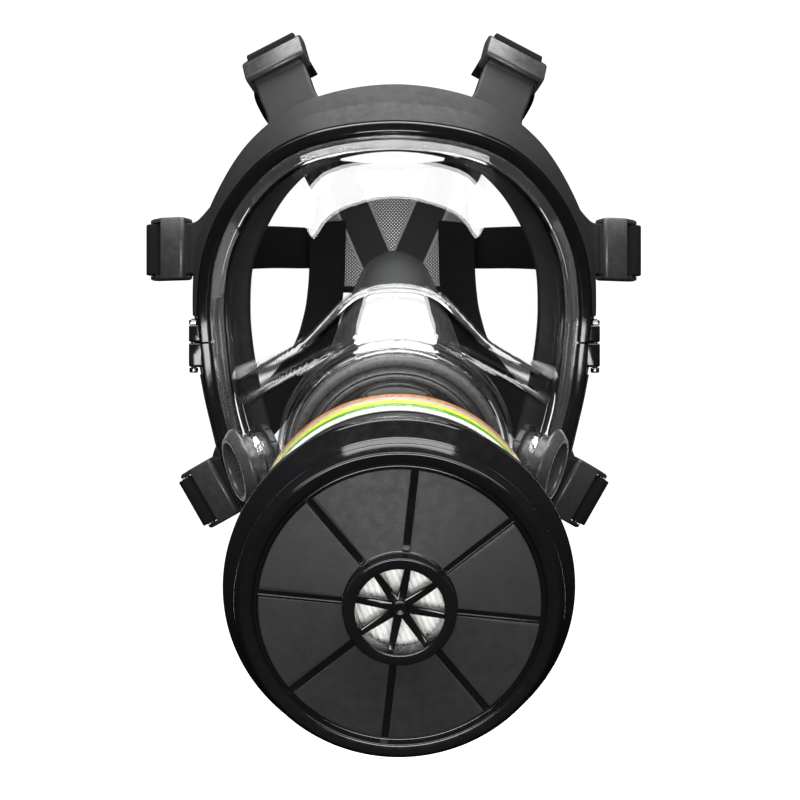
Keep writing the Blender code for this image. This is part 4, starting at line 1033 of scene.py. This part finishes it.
def strap_path(kind):
    """Centre line of a left strap: tail, turn over the roller, and the run back to the pad."""
    place = lug_frame(kind, -1)
    loop = ROLLER_RADIUS + GAP + STRAP_THICK / 2
    local = [(17.2, -22), (17.4, -16), (ROLLER_AT + loop, -9), (ROLLER_AT + loop, -4)]
    angles = [math.pi * k / 12 for k in range(13)]
    local += [(ROLLER_AT + loop * math.cos(angle), loop * math.sin(angle)) for angle in angles]
    local += [(ROLLER_AT - loop, -4), (ROLLER_AT - loop + 0.2, -9)]
    near = [place @ (Vector((0, y, z)) * MM) / MM for y, z in local]
    free, laid = STRAPS[kind]
    far = [Vector(p) for p in free] + [head_point(*p) for p in laid]
    run = smooth_path([near[-2], near[-1]] + far, False, 8)[8:]
    return near[:-1] + [Vector(p) for p in run], len(near), place.to_3x3() @ Vector((1, 0, 0))


def strap_mesh(kind, side):
    points, first, bar = strap_path(kind)
    across = []
    for i, point in enumerate(points):
        flat = head_normal(point).cross(heading(points, i)).normalized()
        if flat.dot(bar) < 0:
            flat = -flat
        blend = float(ease((i - first - 8) / 32))
        across.append(bar * (1 - blend) + flat * blend)
    count = len(points)
    verts, faces, weave = ribbon(points, [STRAP_WIDTH] * count, [STRAP_THICK] * count, across)
    if side > 0:
        verts = [mirrored(v) for v in verts]
    mesh = mesh_from(verts, faces)
    set_weave(mesh, weave)
    length = sum((b - a).length for a, b in zip(points, points[1:]))
    return mesh, length, points, across


STITCH_LENGTH, STITCH_RADIUS = 1.9, 0.45
# Two points of each strap's centre line; harness() turns them into places but nothing uses them.
BEND_POINTS = (30, 62)


def stitches(points, across, side):
    """Two rows of thread stitches along a strap and one across, where it is sewn to the pad."""
    last = len(points) - 1
    row = STRAP_WIDTH / 2 - 2.2
    spots = [(last - 2 - 2 * k, reach, True) for reach in (row, -row) for k in range(9)]
    spots += [(last - 1, (k - 4) * 2.4, False) for k in range(9)]
    made = []
    for i, reach, lengthwise in spots:
        over = across[i].normalized()
        way = heading(points, i) if lengthwise else over
        out = head_normal(points[i])
        centre = points[i] + over * reach + out * STRAP_THICK / 2
        if side > 0:
            centre, way, out = mirrored(centre), mirrored(way), mirrored(out)
        bead = rod_mesh(STITCH_RADIUS, -STITCH_LENGTH / 2, STITCH_LENGTH / 2, sides=8, edge=0.4)
        made.append(moved(bead, frame_of(centre, out, way.cross(out))))
    return joined(made)


def harness():
    for kind in STRAPS:
        for which, side in SIDES.items():
            name = f"{kind}_{which}"
            mesh, length, points, across = strap_mesh(kind, side)
            turn = mirrored if side > 0 else Vector
            band = piece(f"webbing_{name}", mesh, "webbing", None, f"strap_{name}")
            sewn = piece(f"stitching_{name}", stitches(points, across, side), "thread", "facepiece")
            start, end = (turn(points[k]) * MM for k in BEND_POINTS)
            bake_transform(band)
            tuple(start)
            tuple(end)


def pad_point(across, up, lift):
    """A point of the pad, from -1 to 1 across it and from 0 to 1 up it."""
    half = PAD_HALF_WIDTH[0] + (PAD_HALF_WIDTH[1] - PAD_HALF_WIDTH[0]) * up
    return head_point(half * across, PAD_Z[0] + (PAD_Z[1] - PAD_Z[0]) * up, lift)


def head_pad():
    rows, cols = 40, 56
    rings = [[pad_point(2 * i / (cols - 1) - 1, j / (rows - 1), 0) for i in range(cols)] for j in range(rows)]
    mesh = mesh_from(*loft(rings, close_around=False), towards=(0, 1, 0))
    set_weave(mesh, [(p.x, p.z - PAD_Z[0]) for ring in rings for p in ring])
    mesh = worked(mesh, solid=PAD_THICK, offset=1)
    pad = piece("pad_sheet", mesh, "pad_mesh", "facepiece", "head_pad")
    corners = [(-1, 0), (1, 0), (1, 1), (-1, 1)]
    route = []
    for (ax, at), (bx, bt) in zip(corners, corners[1:] + corners[:1]):
        for k in range(24):
            route.append(pad_point(ax + (bx - ax) * k / 24, at + (bt - at) * k / 24, 0.6))
    outline = rounded([(-2.6, -1.1), (1.4, -1.1), (1.4, 1.1), (-2.6, 1.1)], 0.9)
    rings = []
    for i, point in enumerate(route):
        tangent = (route[(i + 1) % len(route)] - route[i - 1]).normalized()
        out = head_normal(point)
        side = tangent.cross(out)
        rings.append([point + side * p.x + out * p.y for p in outline])
    bound = mesh_from(*loft(rings, close_along=True))
    set_weave(bound, [(k % len(outline), 0.8 * (k // len(outline))) for k in range(len(bound.vertices))])
    binding = piece("pad_binding", bound, "webbing", "facepiece")


# ---- canister

def pleat_pack():
    """Folded paper, cut to a disc."""
    half = int(PLEAT_RADIUS / PLEAT_PITCH * 2) - 1
    rings = []
    for k in range(-half, half + 1):
        x = k * PLEAT_PITCH / 2
        y = math.sqrt(PLEAT_RADIUS**2 - x * x)
        front = PLEAT_FRONT[k % 2]
        rings.append([(x, -y, front), (x, y, front), (x, y, PLEAT_BACK), (x, -y, PLEAT_BACK)])
    return moved(mesh_from(*loft(rings, caps=True)), Matrix.Rotation(PLEAT_TURN, 4, "Z"))


def cover_shape():
    cover = turned_mesh(COVER_PROFILE, 0.55, CANISTER_SIDES)
    hub = turned_mesh([(0, -1.6), (1.1, -1.7), (1.5, -2.2), (2.2, -2.3), (3.0, -1.4), (3.0, 1.6), (0, 1.6)],
                      0.3, 48)
    turns = [math.tau * k / SPOKES for k in range(SPOKES)]
    ends = [[(r, -w, -1.4), (r, -w, 1.3), (r, w, 1.3), (r, w, -1.4)] for r, w in ((1.0, 1.5), (15.4, 1.0))]
    steps = []
    for turn in turns:
        spoke = worked(mesh_from(*loft(ends, caps=True)), bevel=0.35)
        steps.append(("UNION", moved(spoke, Matrix.Rotation(turn + SPOKE_TURN, 4, "Z"))))
    steps.append(("UNION", hub))
    for turn in turns:
        groove = block_mesh((18.4, -GROOVE_HALF, -1.0), (45.6, GROOVE_HALF, 1.3), turn + GROOVE_TURN, 0.12, 1)
        steps.append(("DIFFERENCE", groove))
    return worked(cover, steps, bevel=0.22)


def panel_faces(mesh):
    """The faces of the eight textured panels; the rest of the cover is glossy."""
    for face in mesh.polygons:
        radius = math.hypot(face.center.x, face.center.y) / MM
        if PANEL_RADII[0] < radius < PANEL_RADII[1] and face.normal.z < -0.9 and face.center.z / MM < 0.3:
            yield face.index


def thread_profile(radius, low, high):
    points = []
    root = radius - 1.2
    while low + THREAD_PITCH < high:
        points += [(root, low + 0.4), (radius, low + 1.2), (radius, low + 2.2), (root, low + 3.0)]
        low += THREAD_PITCH
    return points


def canister():
    cover = cover_shape()
    panels = list(panel_faces(cover))
    lid = piece("canister_lid", cover, "gloss", "canister", "canister_cover", place=CANISTER, more=["panel"])
    for index in panels:
        lid.data.polygons[index].material_index = 1
    shell = turned_mesh([
        (CANISTER_RADIUS, 20.3), (CANISTER_RADIUS, 82.0), (50.5, 84.4), (47.0, CANISTER_REAR),
        (21.2, CANISTER_REAR), (21.2, 84.0), (46.4, 84.0), (50.6, 81.0), (50.6, 20.3)], 0.9, CANISTER_SIDES)
    base = turned_mesh([(17.0, 83.0), (20.8, 83.0), (20.8, 85.8), (27.0, 85.8), (27.0, 88.0), (18.8, 88.4),
                        *thread_profile(THREAD_RADIUS, 88.4, 101.0), (18.8, NECK_END), (17.0, NECK_END)], 0.3)
    bands = ring_mesh(52.3, 52.8, *LABEL_BACK, 0.1, CANISTER_SIDES)
    for name, mesh, look, body, node in (
        ("canister_can", shell, "can", "canister", "canister_shell"),
        ("canister_bands", bands, "label_bands", "canister", "canister_label"),
        ("canister_neck", base, "satin", "canister", "canister_base"),
        ("neck_gasket", ring_mesh(15.4, 19.6, 102.3, 105.4, 0.9), "gasket", "canister_seal", "filter_gasket"),
        ("carbon_fill", ring_mesh(0, 50.0, 33.2, 65.0, 0.8), "carbon", "canister", "carbon_bed"),
        ("screen_front_gauze", ring_mesh(0, 50.2, 31.6, 32.8, 0.3), "gauze", "canister", "screen_front"),
        ("screen_rear_gauze", ring_mesh(0, 50.2, 65.4, 66.6, 0.3), "gauze", "canister", "screen_rear"),
        ("pleated_paper", pleat_pack(), "paper", "canister", "particle_filter"),
    ):
        piece(name, mesh, look, body, node, place=CANISTER)


# ---- studio

# Places and sizes are in metres, the turn in degrees and the lens in millimetres.
CAMERA_AT = (-0.0053, -0.660, 0)
CAMERA_TURN = (90, 0, -0.70)
CAMERA_LENS = 62.4
FLOOR_Z = -0.42
FLOOR_HALF = 20
WHITE = 1.15  # brightness of the floor and of the surroundings, so that they merge
# Name, centre, the point it faces, its width and height, and its radiance.
SOFTBOXES = [
    ("key_front", (0, -1.74, 2.5), (0, -1.74, 0), (7.6, 1.36), 10),
    ("key_top", (0, 0.03, 1.0), (0, 0.03, 0), (0.98, 0.66), 9),
    ("strip_left", (-0.66, 1.1, 0.12), (0, -0.03, 0.05), (0.14, 1.0), 2.5),
    ("strip_right", (0.66, 1.1, 0.12), (0, -0.03, 0.05), (0.14, 1.0), 2.5),
    ("fill_low", (-0.05, -1.5, -0.12), (0, -0.2, -0.05), (0.7, 0.45), 20),
]


def floor():
    corners = [(x * FLOOR_HALF, y * FLOOR_HALF, FLOOR_Z) for x, y in ((-1, -1), (1, -1), (1, 1), (-1, 1))]
    mesh = bpy.data.meshes.new("floor")
    mesh.from_pydata(corners, [], [(0, 1, 2, 3)])
    Look("floor", None, (0.5, 0.5, 0.5), 0.95, emission_color=(1, 1, 1, 1), emission_strength=WHITE)
    mesh.materials.append(LOOKS["floor"])
    sheet = bpy.data.objects.new("floor", mesh)
    bpy.context.scene.collection.objects.link(sheet)
    sheet.visible_glossy = False
    sheet.visible_diffuse = False


def softbox(name, centre, target, size, radiance):
    light = bpy.data.lights.new(name, "AREA")
    light.shape = "RECTANGLE"
    light.size, light.size_y = size
    light.energy = radiance * math.pi * size[0] * size[1]
    lamp = bpy.data.objects.new(name, light)
    bpy.context.scene.collection.objects.link(lamp)
    lamp.location = centre
    way = Vector(target) - Vector(centre)
    lamp.rotation_euler = way.to_track_quat("-Z", "Y").to_euler()


def studio():
    scene = bpy.context.scene
    camera = bpy.data.objects.new("camera", bpy.data.cameras.new("camera"))
    scene.collection.objects.link(camera)
    camera.location = CAMERA_AT
    camera.rotation_euler = [math.radians(angle) for angle in CAMERA_TURN]
    camera.data.lens = CAMERA_LENS
    camera.data.sensor_width = 36
    scene.camera = camera
    scene.view_settings.view_transform = "Standard"
    floor()
    world = bpy.data.worlds.new("studio")
    scene.world = world
    world.use_nodes = True
    world.node_tree.nodes["Background"].inputs["Color"].default_value = (1, 1, 1, 1)
    world.node_tree.nodes["Background"].inputs["Strength"].default_value = WHITE
    world.cycles_visibility.glossy = False
    world.cycles_visibility.diffuse = False
    for row in SOFTBOXES:
        softbox(*row)


studio()
face_seal()
clamp_frame()
visor()
front_housing()
inhalation()
ports()
nose_cup()
buckles()
harness()
head_pad()
canister()

bpy.context.view_layer.update()
